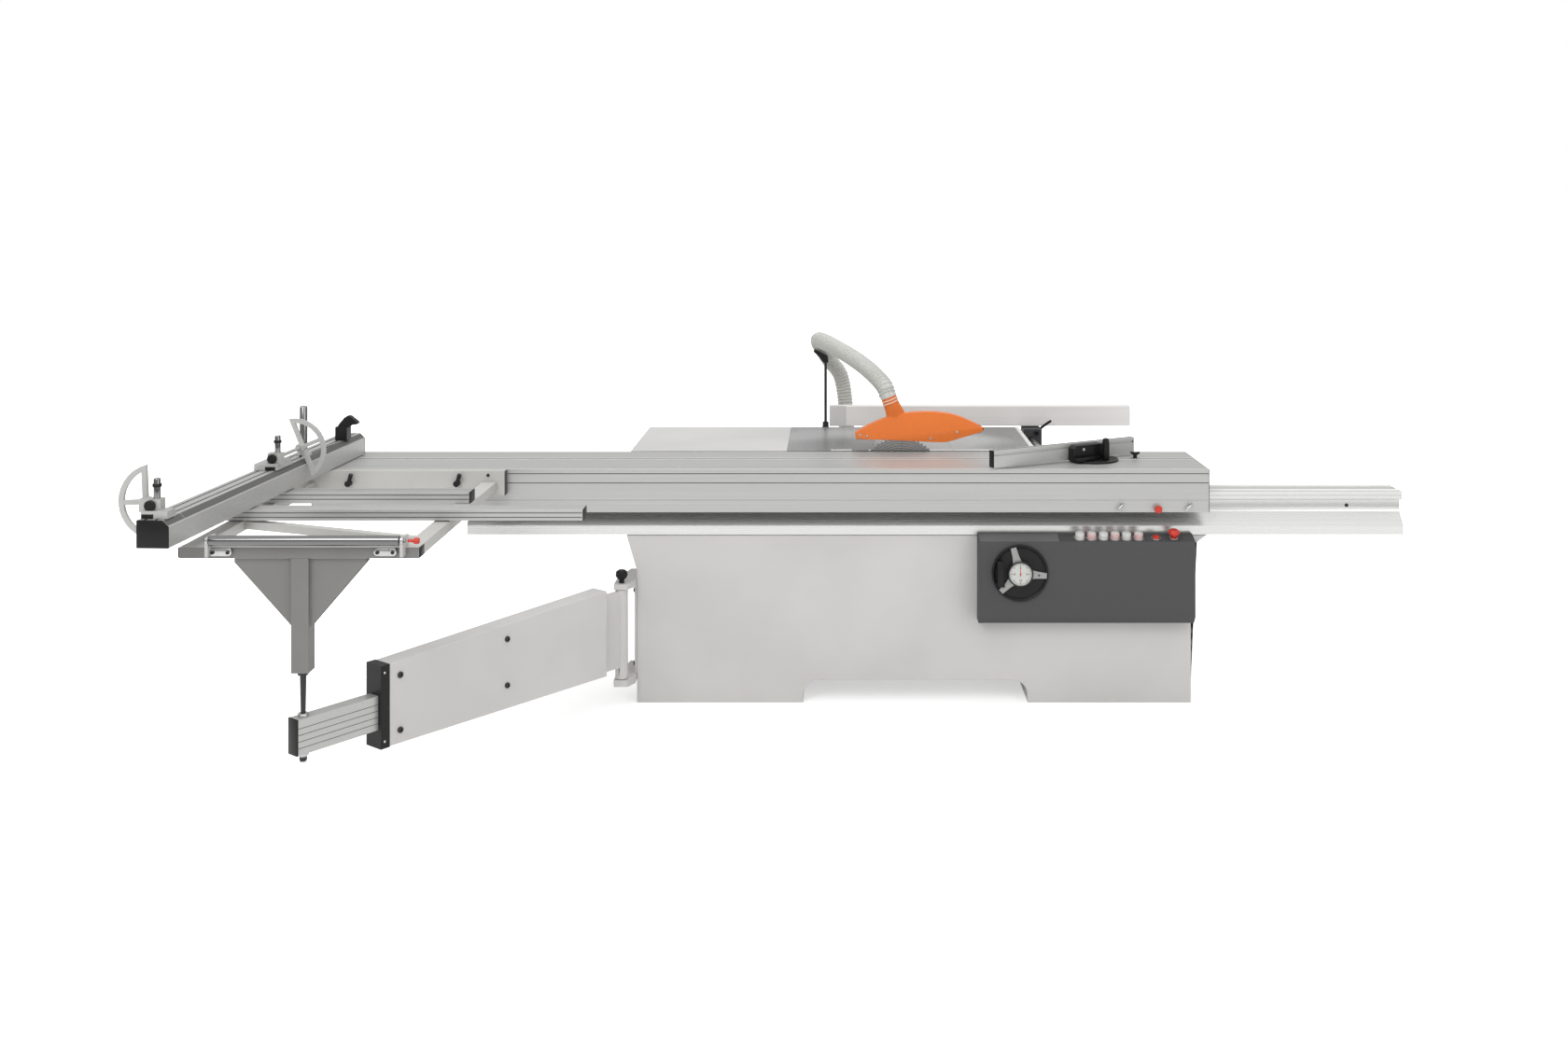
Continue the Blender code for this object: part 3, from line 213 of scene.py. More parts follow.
def plate(outline, low, high, axis="Y", edge=0.001, steps=3):
    """A flat outline given a thickness and a rim rounded by a quarter circle. Its rings are the outline moved
    inwards by edge * (1 - sin a), at edge * (1 - cos a) from each face."""
    outline = np.asarray(outline, float)
    ahead = np.roll(outline, -1, 0) - outline
    ahead /= np.linalg.norm(ahead, axis=1)[:, None]
    behind = np.roll(ahead, 1, 0)
    bisector = np.stack([-(ahead + behind)[:, 1], (ahead + behind)[:, 0]], -1)
    bisector /= np.maximum(np.linalg.norm(bisector, axis=1)[:, None], 1e-9)
    area = np.sum(outline[:, 0] * np.roll(outline[:, 1], -1) - np.roll(outline[:, 0], -1) * outline[:, 1])
    bisector *= np.sign(area)
    angles = np.linspace(0.0, np.pi / 2, steps)
    inset = np.concatenate([edge * (1 - np.sin(angles)), edge * (1 - np.sin(angles[::-1]))])
    depth = np.concatenate([low + edge * (1 - np.cos(angles)), high - edge * (1 - np.cos(angles[::-1]))])
    flat = outline[None] + inset[:, None, None] * bisector[None]
    depth = np.broadcast_to(depth[:, None], flat.shape[:2])
    order = {"X": (depth, flat[..., 0], flat[..., 1]), "Y": (flat[..., 0], depth, flat[..., 1]),
             "Z": (flat[..., 0], flat[..., 1], depth)}[axis]
    return grid(np.stack(order, -1))


def arc(centre, radius, start, end, count):
    turn = np.radians(np.linspace(start, end, count + 1))
    return np.stack([centre[0] + radius * np.cos(turn), centre[1] + radius * np.sin(turn)], -1)


def smooth_curve(points, steps, closed=False):
    """Catmull-Rom curve through points: each span is a cubic in t that meets its neighbours' slopes."""
    p = np.asarray(points, float)
    if closed:
        a, b, c, d = np.roll(p, 1, 0), p, np.roll(p, -1, 0), np.roll(p, -2, 0)
    else:
        p = np.vstack([2 * p[0] - p[1], p, 2 * p[-1] - p[-2]])
        a, b, c, d = p[:-3], p[1:-2], p[2:-1], p[3:]
    t = (np.arange(steps) / steps)[None, :, None]
    a, b, c, d = (q[:, None] for q in (a, b, c, d))
    curve = 0.5 * (2 * b + (c - a) * t + (2 * a - 5 * b + 4 * c - d) * t ** 2 + (3 * b - a - 3 * c + d)
                   * t ** 3)
    curve = curve.reshape(-1, p.shape[1])
    return curve if closed else np.vstack([curve, p[-2]])


def make_mesh(name, shapes, sharp_degrees=35.0):
    """One mesh from several surfaces, its doubles merged and its faces turned outwards."""
    points, faces, count = [], [], 0
    for vertices, polygons in shapes:
        points.append(vertices)
        faces.extend([[index + count for index in polygon] for polygon in polygons])
        count += len(vertices)
    mesh = bpy.data.meshes.new(name)
    mesh.from_pydata(np.vstack(points).tolist(), [], faces)
    work = bmesh.new()
    work.from_mesh(mesh)
    bmesh.ops.remove_doubles(work, verts=work.verts, dist=1e-6)
    bmesh.ops.dissolve_degenerate(work, edges=work.edges, dist=1e-7)
    bmesh.ops.recalc_face_normals(work, faces=work.faces)
    work.to_mesh(mesh)
    work.free()
    mesh.shade_smooth()
    mesh.set_sharp_from_angle(angle=math.radians(sharp_degrees))
    return mesh


def add_piece(name, shapes, body, finish, place=PLAIN_FRAME, replaces=()):
    """A named object from surfaces given in a turned frame, riding on a body, with the material of its finish."""
    shapes = [(turned_into(vertices, place), faces) for vertices, faces in shapes]
    piece = bpy.data.objects.new(name, make_mesh(name, shapes))
    bpy.context.scene.collection.objects.link(piece)
    piece.data.materials.append(finished(finish))
    if body:
        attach(piece, body)
    if replaces:
        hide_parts(*replaces)
    return piece


def soften(finish, width, *nodes, slot=None, segments=2):
    """Copies of CAD nodes with doubles merged, flat faces joined and edges broken by a small round."""
    for node in nodes:
        source = NODES[node]
        mesh = source.data.copy()
        work = bmesh.new()
        work.from_mesh(mesh)
        bmesh.ops.remove_doubles(work, verts=work.verts, dist=1e-6)
        bmesh.ops.dissolve_limit(work, angle_limit=math.radians(1.0), verts=work.verts, edges=work.edges)
        work.to_mesh(mesh)
        work.free()
        copy = bpy.data.objects.new(node + "_skin", mesh)
        bpy.context.scene.collection.objects.link(copy)
        mesh.materials.clear()
        mesh.materials.append(finished(finish))
        mesh.shade_smooth()
        mesh.set_sharp_from_angle(angle=math.radians(35.0))
        edge_break = copy.modifiers.new("edge break", "BEVEL")
        edge_break.width = width
        edge_break.segments = segments
        edge_break.limit_method = "ANGLE"
        edge_break.angle_limit = math.radians(40.0)
        edge_break.use_clamp_overlap = True
        edge_break.harden_normals = True
        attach(copy, source["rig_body"])
        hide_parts(node)


# ---------------------------------------------------------------------------------------------------------
# Finishes. Colours are sRGB hex values; pattern sizes are real sizes in millimetres.

def linear(hex_colour):
    """An sRGB hex colour as linear RGBA."""
    values = [int(hex_colour[i:i + 2], 16) / 255 for i in (1, 3, 5)]
    return (*[v / 12.92 if v <= 0.04045 else ((v + 0.055) / 1.055) ** 2.4 for v in values], 1.0)


def add_node(tree, kind, settings=None, links=None):
    """Add a node, set its properties and sockets by name, and link its inputs from (node, output) pairs."""
    node = tree.nodes.new(kind)
    for key, value in (settings or {}).items():
        if isinstance(key, str) and key in node.bl_rna.properties:
            setattr(node, key, value)
        else:
            node.inputs[key].default_value = value
    for key, (source, output) in (links or {}).items():
        tree.links.new(source.outputs[output], node.inputs[key])
    return node


def new_finish(name, hex_colour, roughness, metallic=0.0, settings=None):
    """A material with a Principled shader and Object coordinates: (material, tree, shader, coordinates)."""
    made = bpy.data.materials.new(name)
    made.use_nodes = True
    tree = made.node_tree
    shader = tree.nodes["Principled BSDF"]
    shader.inputs["Base Color"].default_value = linear(hex_colour)
    shader.inputs["Roughness"].default_value = roughness
    shader.inputs["Metallic"].default_value = metallic
    for key, value in (settings or {}).items():
        shader.inputs[key].default_value = value
    made.diffuse_color = linear(hex_colour)
    coordinates = add_node(tree, "ShaderNodeTexCoord")
    return made, tree, shader, coordinates


def grain(tree, coordinates, size_mm, stretch=(1.0, 1.0, 1.0), detail=2.0):
    """Noise whose cells are size_mm across, drawn out along an axis by a stretch above 1."""
    scale = [1000.0 / size_mm / s for s in stretch]
    mapping = add_node(tree, "ShaderNodeMapping", {"Scale": scale}, {"Vector": (coordinates, "Object")})
    return add_node(tree, "ShaderNodeTexNoise", {"Scale": 1.0, "Detail": detail}, {"Vector": (mapping, 0)})


def vary_colour(tree, shader, noise, light_hex, dark_hex, low=0.35, high=0.65):
    ramp = add_node(tree, "ShaderNodeValToRGB", {}, {"Fac": (noise, "Fac")})
    ramp.color_ramp.elements[0].position = low
    ramp.color_ramp.elements[0].color = linear(dark_hex)
    ramp.color_ramp.elements[1].position = high
    ramp.color_ramp.elements[1].color = linear(light_hex)
    tree.links.new(ramp.outputs["Color"], shader.inputs["Base Color"])


def vary_roughness(tree, shader, noise, low, high):
    spread = add_node(tree, "ShaderNodeMapRange", {"To Min": low, "To Max": high}, {"Value": (noise, "Fac")})
    tree.links.new(spread.outputs["Result"], shader.inputs["Roughness"])


def emboss(tree, shader, noise, height_mm, strength=1.0):
    bump = add_node(tree, "ShaderNodeBump", {"Strength": strength, "Distance": height_mm * MM},
                    {"Height": (noise, "Fac")})
    tree.links.new(bump.outputs["Normal"], shader.inputs["Normal"])


def powder_coat(name, light_hex, dark_hex, roughness, peel_mm=2.5, peel_height_mm=0.05):
    """Powder-coated sheet steel: sprayed and baked, a satin skin with faint orange peel and even colour."""
    made, tree, shader, coordinates = new_finish(name, light_hex, roughness)
    broad = grain(tree, coordinates, 420.0, detail=3.0)
    vary_colour(tree, shader, broad, light_hex, dark_hex)
    peel = grain(tree, coordinates, peel_mm)
    vary_roughness(tree, shader, peel, roughness - 0.05, roughness + 0.06)
    emboss(tree, shader, peel, peel_height_mm, 0.5)
    return made


def hammered_coat(name, light_hex, dark_hex, grit_mm):
    """Textured powder coat: a gritty matte skin whose grains catch the light one by one."""
    made, tree, shader, coordinates = new_finish(name, light_hex, 0.62)
    grit = grain(tree, coordinates, grit_mm, detail=4.0)
    vary_colour(tree, shader, grit, light_hex, dark_hex, 0.3, 0.7)
    emboss(tree, shader, grit, 0.25, 0.6)
    return made


def drawn_metal(name, light_hex, dark_hex, roughness, stretch, metallic=0.9, line_mm=1.2):
    """Extruded or ground metal: fine lines along one direction from the die or the grinding wheel."""
    made, tree, shader, coordinates = new_finish(name, light_hex, roughness, metallic)
    lines = grain(tree, coordinates, line_mm, stretch, detail=3.0)
    vary_colour(tree, shader, lines, light_hex, dark_hex, 0.3, 0.7)
    vary_roughness(tree, shader, lines, roughness - 0.06, roughness + 0.08)
    emboss(tree, shader, lines, 0.01, 0.12)
    return made


def ground_iron(name, light_hex, dark_hex, roughness, stretch, line_mm):
    """Ground cast iron: broad light and dark clouds of the oiled surface under fine grinding lines."""
    made, tree, shader, coordinates = new_finish(name, light_hex, roughness, 0.5)
    clouds = grain(tree, coordinates, 520.0, detail=1.0)
    vary_colour(tree, shader, clouds, light_hex, dark_hex, 0.38, 0.6)
    lines = grain(tree, coordinates, line_mm, stretch, detail=3.0)
    vary_roughness(tree, shader, lines, roughness - 0.06, roughness + 0.1)
    emboss(tree, shader, lines, 0.01, 0.12)
    return made


def moulded_plastic(name, light_hex, dark_hex, roughness, grain_mm=0.9, height_mm=0.04, settings=None):
    """Injection-moulded plastic: spark-eroded grain of the mould and a soft even sheen."""
    made, tree, shader, coordinates = new_finish(name, light_hex, roughness, settings=settings)
    skin = grain(tree, coordinates, grain_mm, detail=3.0)
    vary_colour(tree, shader, skin, light_hex, dark_hex)
    emboss(tree, shader, skin, height_mm, 0.5)
    return made


def turned_steel(name, light_hex, dark_hex, centre, ring_mm):
    """Lathe-turned or ground disc: rings round its own axis, which runs along Y."""
    made, tree, shader, coordinates = new_finish(name, light_hex, 0.28, 1.0)
    place = home(centre)
    mapping = add_node(tree, "ShaderNodeMapping", {"vector_type": "TEXTURE", "Location": place.tolist()},
                       {"Vector": (coordinates, "Object")})
    rings = add_node(tree, "ShaderNodeTexWave",
                     {"wave_type": "RINGS", "rings_direction": "Y", "Scale": 1000.0 / ring_mm / 20.0,
                      "Distortion": 0.6, "Detail": 2.0, "Detail Scale": 3.0}, {"Vector": (mapping, 0)})
    vary_colour(tree, shader, rings, light_hex, dark_hex, 0.0, 1.0)
    vary_roughness(tree, shader, rings, 0.22, 0.34)
    return made


LONG_X, LONG_Y, LONG_Z = (900.0, 1.0, 1.0), (1.0, 900.0, 1.0), (1.0, 1.0, 900.0)
FINISHES = {
    "body coat": ("body_paint", powder_coat, "powder-coated steel, light grey", "body", "#c3c1bf", 0.46),
    "table coat": ("body_paint", powder_coat, "painted outfeed table", "outfeed", "#c1c0be", 0.4),
    "dark coat": ("dark_paint", hammered_coat, "textured powder coat, dark grey",
        "control", "#3f3f41", 1.6),
    "strip coat": ("aluminium", powder_coat, "box lid coat, mid grey", "#6c6b6c", "#636263", 0.5),
    "extrusion x": ("aluminium", drawn_metal, "anodised aluminium, drawn along X",
        "aluminium", "#adadab", 0.34, LONG_X, 0.4),
    "extrusion y": ("aluminium", drawn_metal, "anodised aluminium, drawn along Y",
        "aluminium", "#adadab", 0.34, LONG_Y, 0.4),
    # Bright lip: milled aluminium on the insert, the rail rods and the fence shoe; on the sliding table it is a
    # painted highlight along the edges.
    "bright lip": ("aluminium", drawn_metal, "milled aluminium and painted edge highlight",
        "#e6e6e4", "#dcdcda", 0.34, LONG_X, 0.5),
    "ring satin": ("aluminium", powder_coat, "satin cast aluminium", "#b9b9b7", "#adadab", 0.34, 1.5, 0.02),
    # Post coat: the light grey frame paint darkened to mid grey, painted shade on the post and on the frame's
    # front face.
    "shaded post coat": ("body_paint", powder_coat, "light grey powder coat darkened as painted shade", "#7c7b79", "#737270", 0.46),
    # Frame coat: the light grey body paint darkened a little, painted shade on the outrigger frame.
    "shaded frame coat": ("body_paint", powder_coat, "powder-coated frame tube darkened as painted shade", "#bdbcb8", "#b4b3af", 0.44),
    # Slot dark: dark strips laid in each groove, slot and the rail's hollow end as painted shade; also the
    # fence's scale strips.
    "slot dark": ("aluminium", drawn_metal, "painted groove shade and dark scale strip", "#70706f", "#5c5c5b", 0.5, LONG_X, 0.6),
    "rail bright": ("aluminium", drawn_metal, "polished rail extrusion",
        "#dfdfdd", "#cfcfcd", 0.26, LONG_X, 0.75),
    "fence light": ("aluminium", drawn_metal, "silver anodised fence",
        "#f2f0ee", "#e8e6e4", 0.36, LONG_X, 0.2),
    "cast iron": ("cast_iron", ground_iron, "ground cast iron", "#b9bab9", "#7b7c7b", 0.28, LONG_Y, 1.6),
    "rough casting": ("dark_paint", hammered_coat, "painted rough casting", "#3a3b3c", "#2b2c2d", 2.2),
    "bright steel": ("steel", drawn_metal, "bright zinc-plated steel",
        "#cfcfcf", "#b2b2b2", 0.22, LONG_Z, 1.0, 0.9),
    "chrome": ("steel", drawn_metal, "chromed steel", "#9c9c9c", "#7f7f7f", 0.1, LONG_Z, 1.0, 6.0),
    "cuff band": ("orange_paint", moulded_plastic, "clear cuff over the spigot",
        "#f2d6c2", "#eac6ac", 0.25, 3.0, 0.02),
    "roller steel": ("steel", drawn_metal, "chromed roller", "#8c8c8c", "#747474", 0.1, LONG_X, 1.0, 6.0),
    "blade steel": ("steel", turned_steel, "ground saw plate", "#b2b2b2", "#969696", BLADE_CENTRE, 1.4),
    "wheel silver": ("aluminium", drawn_metal, "satin wheel spokes",
        "#a9a9a7", "#979795", 0.45, (1, 1, 1), 0.6, 2.0),
    "dial rim": ("steel", turned_steel, "polished steel rim",
        "#d9d9d9", "#bcbcbc", (0.652, -0.05, 0.488), 1.2),
    "black plastic": ("black_plastic", moulded_plastic, "moulded black polyamide",
        "black", "#0e0e0f", 0.4, 0.9, 0.04, {"Specular IOR Level": 0.3}),
    "black oxide": ("black_plastic", moulded_plastic, "black-oxide steel",
        "#232324", "#161617", 0.34, 0.6, 0.02),
    "orange shell": ("orange_paint", moulded_plastic, "orange enamelled guard",
        "guard", "#e27224", 0.34, 3.0, 0.04, {"Coat Weight": 0.25, "Coat Roughness": 0.12}),
    "red plastic": ("red_plastic", moulded_plastic, "moulded red cap", "#cc3422", "#b42a1a", 0.3),
    "clear cap": ("clear_plastic", moulded_plastic, "clear button cap",
        "#eeeeec", "#e2e2e0", 0.12, 0.9, 0.02, {"Transmission Weight": 0.35, "IOR": 1.49}),
    "pink cap": ("pink_plastic", moulded_plastic, "tinted button cap",
        "#e8c9c7", "#ddb6b4", 0.12, 0.9, 0.02, {"Transmission Weight": 0.3, "IOR": 1.49}),
    "grey hose": ("hose_plastic", moulded_plastic, "PVC hose wall",
        "hose", "#b9b9b4", 0.38, 6.0, 0.05, {"Transmission Weight": 0.12, "IOR": 1.45}),
    "dial white": ("clear_plastic", moulded_plastic, "printed dial", "#c9c9c5", "#c1c1bd", 0.4, 1.5, 0.01),
    "dial ink": ("black_plastic", moulded_plastic, "dial ink", "#1b1b1b", "#151515", 0.5, 1.5, 0.01),
    "needle red": ("red_plastic", moulded_plastic, "needle paint", "#cc2b1d", "#b82317", 0.35, 1.5, 0.01),
    "belt rubber": ("belt_rubber", moulded_plastic, "ribbed rubber belt",
        "#1c1c1c", "#121212", 0.8, 1.5, 0.1),
    "scale tape": ("aluminium", powder_coat, "scale tape", "#e6e6e2", "#dadad6", 0.35, 3.0, 0.01),
}
MADE = {}


def finished(name):
    """The material of a finish, made the first time that a piece asks for it."""
    if name not in MADE:
        maker, title, light, dark, *rest = FINISHES[name][1:]
        light = light if light.startswith("#") else getattr(bpy.context.scene.panel_saw_colours, light)
        MADE[name] = maker(title, light, dark, *rest)
    return MADE[name]


# ---------------------------------------------------------------------------------------------------------
# Settings

class PanelSawColours(bpy.types.PropertyGroup):
    """Colours that a user may change, as sRGB hex values."""
    body: bpy.props.StringProperty(name="Body", description="Cabinet, frame and arm paint", default="#cbc9c7")
    outfeed: bpy.props.StringProperty(name="Outfeed table", description="Painted table", default="#c8c7c5")
    control: bpy.props.StringProperty(name="Control box", description="Textured dark paint",
                                      default="#484849")
    aluminium: bpy.props.StringProperty(name="Aluminium", description="Anodised extrusions",
                                        default="#c0c0be")
    black: bpy.props.StringProperty(name="Black parts", description="Knobs, caps and handles",
                                    default="#151516")
    guard: bpy.props.StringProperty(name="Guard", description="Blade guard shell", default="#f07d2c")
    hose: bpy.props.StringProperty(name="Hose", description="Dust hose wall", default="#cfcfca")


class PanelSawSizes(bpy.types.PropertyGroup):
    """Sizes that a user may change."""
    rib_pitch: bpy.props.FloatProperty(name="Hose rib pitch",
                                       description="Distance between two ribs of the hose", default=0.0145,
                                       min=0.004, max=0.05, unit="LENGTH")
    tooth_count: bpy.props.IntProperty(name="Blade teeth", description="Teeth on the main saw blade",
                                       default=60, min=12, max=120)
    edge_break: bpy.props.FloatProperty(name="Edge break",
                                        description="Round on the edges of sheet and castings",
                                        default=0.0022, min=0.0002, max=0.01, unit="LENGTH")
    light: bpy.props.FloatProperty(name="Studio light", description="Strength of the soft lamps",
                                   default=1.0, min=0.1, max=4.0)


def sizes():
    return bpy.context.scene.panel_saw_sizes


# ---------------------------------------------------------------------------------------------------------
# Pieces

def screw_head(place, direction, radius, height, socket=True, sides=24):
    """Cap screw: a turned head with rounded rim and a round recess in its face."""
    profile = [(0.0, 0.0), (radius, 0.0), (radius, height * 0.75), (radius * 0.88, height)]
    if socket:
        profile += [(radius * 0.5, height), (radius * 0.45, height * 0.45), (0.0, height * 0.45)]
    else:
        profile += [(radius * 0.5, height * 1.12), (0.0, height * 1.15)]
    return lathe(profile, place, direction, sides)


def spoke(angle):
    """Unit vectors along a spoke and square to it, in the wheel's own plane."""
    return np.array([math.cos(angle), math.sin(angle)]), np.array([-math.sin(angle), math.cos(angle)])


def radial_mark(angle, outer, reach, width):
    """Corners of a scale mark that points at the centre: half its width is given, and its length inwards."""
    along, side = spoke(angle)
    return np.array([along * r + side * w for r, w in ((outer, width), (outer - reach, width),
                                                       (outer - reach, -width), (outer, -width))])


def rectangle(low, high):
    return [low, (high[0], low[1]), high, (low[0], high[1])]


class PANELSAW_OT_body(bpy.types.Operator):
    """Cabinet, tables and the machine's fixed metalwork"""
    bl_idname = "panel_saw.body"
    bl_label = "Machine body"

    def execute(self, context):
        soften("body coat", sizes().edge_break, "cabinet")
        soften("body coat", 0.0012, "cabinet_front", "cabinet_floor")
        soften("table coat", 0.0012, "outfeed_table")
        soften("cast iron", 0.0012, "cast_iron_table")
        soften("body coat", 0.0015, "arm_bracket")
        soften("dark coat", 0.001, "dust_port")
        soften("black oxide", 0.0006, "hose_post")
        soften("black plastic", 0.0015, "hose_saddle")
        soften("bright steel", 0.0008, "rip_guide_bar")
        soften("rough casting", 0.001, "trunnion_left", "trunnion_right", "tilt_cradle", "lift_carriage",
               slot="cast_iron")
        soften("dark coat", 0.0015, "motor")
        soften("bright steel", 0.0006, "motor_pulley", slot="cast_iron")
        soften("belt rubber", 0.0004, "drive_belt")
        wall_bolts = [screw_head((-0.7275, 0.075 + 0.1 * i, z), (-1, 0, 0), 0.008, 0.006)
                      for i in range(2) for z in (0.135, 0.4)]
        add_piece("bracket_bolts", wall_bolts, "machine", "black oxide")
        strip = block((0.7525, 0.4, 0.8497), (0.769, 0.986, 0.8505), 0.0003)
        add_piece("table_scale_strip", [strip], "machine", "scale tape")
        marks = []
        for i, y in enumerate(np.arange(0.42, 0.97, 0.02)):
            reach = 0.012 if i % 5 == 0 else 0.007
            marks.append(block((0.7535, y - 0.0004, 0.8503), (0.7535 + reach, y + 0.0004, 0.8508), 0.0001, 2))
        add_piece("table_scale_marks", marks, "machine", "dial ink")
        insert = plate(rectangle((-0.02, 0.3945), (0.62, 0.426)), 0.8496, 0.8506, "Z", 0.0004)
        add_piece("blade_insert", [insert], "machine", "bright lip")
        screws = [cylinder(0.0042, 0, 0.0004, (x, 0.415, 0.8505), UP, 16)
                  for x in (-0.005, 0.15, 0.45, 0.605)]
        add_piece("insert_screws", screws, "machine", "black oxide")
        return {"FINISHED"}


class PANELSAW_OT_guide_rail(bpy.types.Operator):
    """Guide rail: the extrusion that the sliding table runs on"""
    bl_idname = "panel_saw.guide_rail"
    bl_label = "Guide rail"

    def execute(self, context):
        low, high = -1.329, 2.042
        section = [(0.043, 0.607), (0.043, 0.639), (0.0455, 0.6425), (0.081, 0.6815), (0.0838, 0.687),
                   (0.0838, 0.724), (0.06, 0.73), (0.0572, 0.733), (0.0572, 0.7445), (0.0592, 0.7452),
                   (0.0592, 0.7478), (0.0572, 0.7486), (0.0572, 0.7588), (0.08, 0.7588), (0.081, 0.7565),
                   (0.086, 0.7565), (0.087, 0.7588), (0.164, 0.7588), (0.165, 0.7565), (0.17, 0.7565),
                   (0.171, 0.7588), (0.1928, 0.7588), (0.1928, 0.733), (0.19, 0.731), (0.15, 0.727),
                   (0.15, 0.607), (0.12, 0.607), (0.118, 0.61), (0.078, 0.61), (0.076, 0.607)]
        add_piece("guide_rail_profile", [bar_x(section, low, high)], "machine", "rail bright",
                  replaces=["guide_rail"])
        # A dark sheet over the rail's open end: painted shade inside its hollow.
        hollow_shade = block((high - 0.0006, 0.0965, 0.6205), (high + 0.0003, 0.14, 0.7145), *THIN)
        rods = [cylinder(0.005, low, high, (0, y, 0.7592), ALONG, 16) for y in (0.0835, 0.1675)]
        add_piece("rail_running_rods", rods, "machine", "bright lip")
        add_piece("rail_end_hollow_shade", [hollow_shade], "machine", "slot dark")
        screws = [screw_head((1.85, 0.0838, 0.705), FRONT, 0.0065, 0.003),
                  screw_head((-1.25, 0.0838, 0.705), FRONT, 0.0065, 0.003)]
        add_piece("rail_screws", screws, "machine", "black oxide")
        return {"FINISHED"}


class PANELSAW_OT_sliding_table(bpy.types.Operator):
    """Sliding table: grooved extrusion, its end caps, hooks and lock knob"""
    bl_idname = "panel_saw.sliding_table"
    bl_label = "Sliding table"

    def execute(self, context):
        top, under = TABLE_TOP, TABLE_TOP - 0.0155

        def groove(y):
            """A shallow groove of the top face, from its near edge."""
            return (y, top), (y + 0.0004, top - 0.0016), (y + 0.0024, top - 0.0016), (y + 0.0028, top)

        section = [(0, 0.6965), (0, 0.7385), (0.0012, 0.7392), (0.0012, 0.7405), (0, 0.7412),
                   (0, 0.7996), (0.0032, 0.7999), (0.0032, 0.8024), (0, 0.8028), (0, 0.8326),
                   (0.0032, 0.8329), (0.0032, 0.8354), (0, 0.8358), (0, top - 0.0012), (0.0012, top),
                   *groove(0.034), *groove(0.069), *groove(0.2), (0.212, top), (0.212, top - 0.0115),
                   (0.228, top - 0.0115), (0.228, top), *groove(0.2372), (0.3738, top),
                   (0.375, top - 0.0012), (0.374, top - 0.0022), (0.345, 0.8322), (0.245, under),
                   (0.245, 0.7652), (0.225, 0.7652), (0.225, under), (0.022, under), (0.022, 0.6965)]
        add_piece("sliding_table_profile", [bar_x(section, TABLE_LOW_X, TABLE_HIGH_X)], "table",
                  "extrusion x", replaces=["sliding_table"])
        def strip(near, low, far, high, edge):
            """A strip along the whole table."""
            return block((TABLE_LOW_X, near, low), (TABLE_HIGH_X, far, high), *edge)

        # Bright strips along both slot edges and the front top edge: painted edge highlights.
        edge_highlights = [strip(y, top - 0.0002, y + 0.0085, top + 0.0006, SHEET) for y in (0.2032, 0.2283)]
        edge_highlights.append(strip(0.0002, top - 0.0002, 0.006, top + 0.0005, THIN))
        add_piece("table_edge_highlights", edge_highlights, "table", "bright lip")
        # Dark strips in each groove of the front face and top, and on the slot floor: painted shade.
        groove_shade = [strip(0.0006, z - 0.0013, 0.0034, z + 0.0013, GROOVE) for z in (0.8342, 0.8012)]
        groove_shade += [strip(y - 0.0011, top - 0.0018, y + 0.0011, top - 0.0006, GROOVE)
                    for y in (0.0354, 0.0704, 0.2014, 0.2386)]
        groove_shade.append(strip(0.2123, top - 0.0116, 0.2277, top - 0.0105, GROOVE))
        add_piece("table_groove_shadow", groove_shade, "table", "slot dark")
        cap_section = [(0, 0.6975), (0, top - 0.0006), (0.3745, top - 0.0006), (0.3445, 0.833),
                       (0.2445, under + 0.0006), (0.2445, 0.766), (0.2255, 0.766), (0.2255, under + 0.0006),
                       (0.0215, under + 0.0006), (0.0215, 0.6975)]
        caps = [bar_x(cap_section, TABLE_HIGH_X, TABLE_HIGH_X + 0.003),
                bar_x(cap_section, TABLE_LOW_X - 0.003, TABLE_LOW_X)]
        add_piece("table_end_caps", caps, "table", "strip coat")
        hooks = []
        for x in (1.013, 1.257):
            path = [(x + 0.008, -0.001, 0.724), (x + 0.008, -0.012, 0.7245), (x + 0.003, -0.0165, 0.721),
                    (x - 0.006, -0.0165, 0.713), (x - 0.013, -0.014, 0.7065)]
            hooks.append(tube(smooth_curve(path, 6), 0.0042, 14))
            hooks.append(screw_head((x + 0.008, 0, 0.724), FRONT, 0.0085, 0.0045, False))
        add_piece("table_hooks", hooks, "table", "bright steel")
        soften("red plastic", 0.0006, "table_lock_knob")
        soften("dark coat", 0.0006, "roller_carriage")
        collar = lathe([(0.01, 0), (0.01, 0.003), (0.0065, 0.0036)], (1.147, -0.0002, 0.71), FRONT, 24)
        add_piece("lock_knob_collar", [collar], "table", "bright steel")
        return {"FINISHED"}


def toothed_disc(centre, radius, teeth, thickness, bore):
    """Saw plate: the rim's radius falls by a gullet depth along each tooth, a saw wave of the angle. One
    closed grid of rings runs from bore to rim on the front and back again behind."""
    samples = 8
    turn = np.linspace(0, 2.0 * np.pi, teeth * samples, endpoint=False)
    phase = np.tile(np.array([0, 0.16, 0.34, 0.62, 0.92, 1.0, 0.97, 0.55]), teeth)
    rim = radius - 0.0085 * (1.0 - phase)
    half = thickness / 2
    rings = [(bore, -half), (radius * 0.28, -half), (radius * 0.9, -half), (rim, -half * 1.1),
             (rim, half * 1.1), (radius * 0.9, half), (radius * 0.28, half), (bore, half)]
    points = np.stack([np.stack([centre[0] + r * np.cos(turn), np.full_like(turn, centre[1] + y),
                                 centre[2] + r * np.sin(turn)], -1) for r, y in rings])
    return grid(points, close_rows=True)


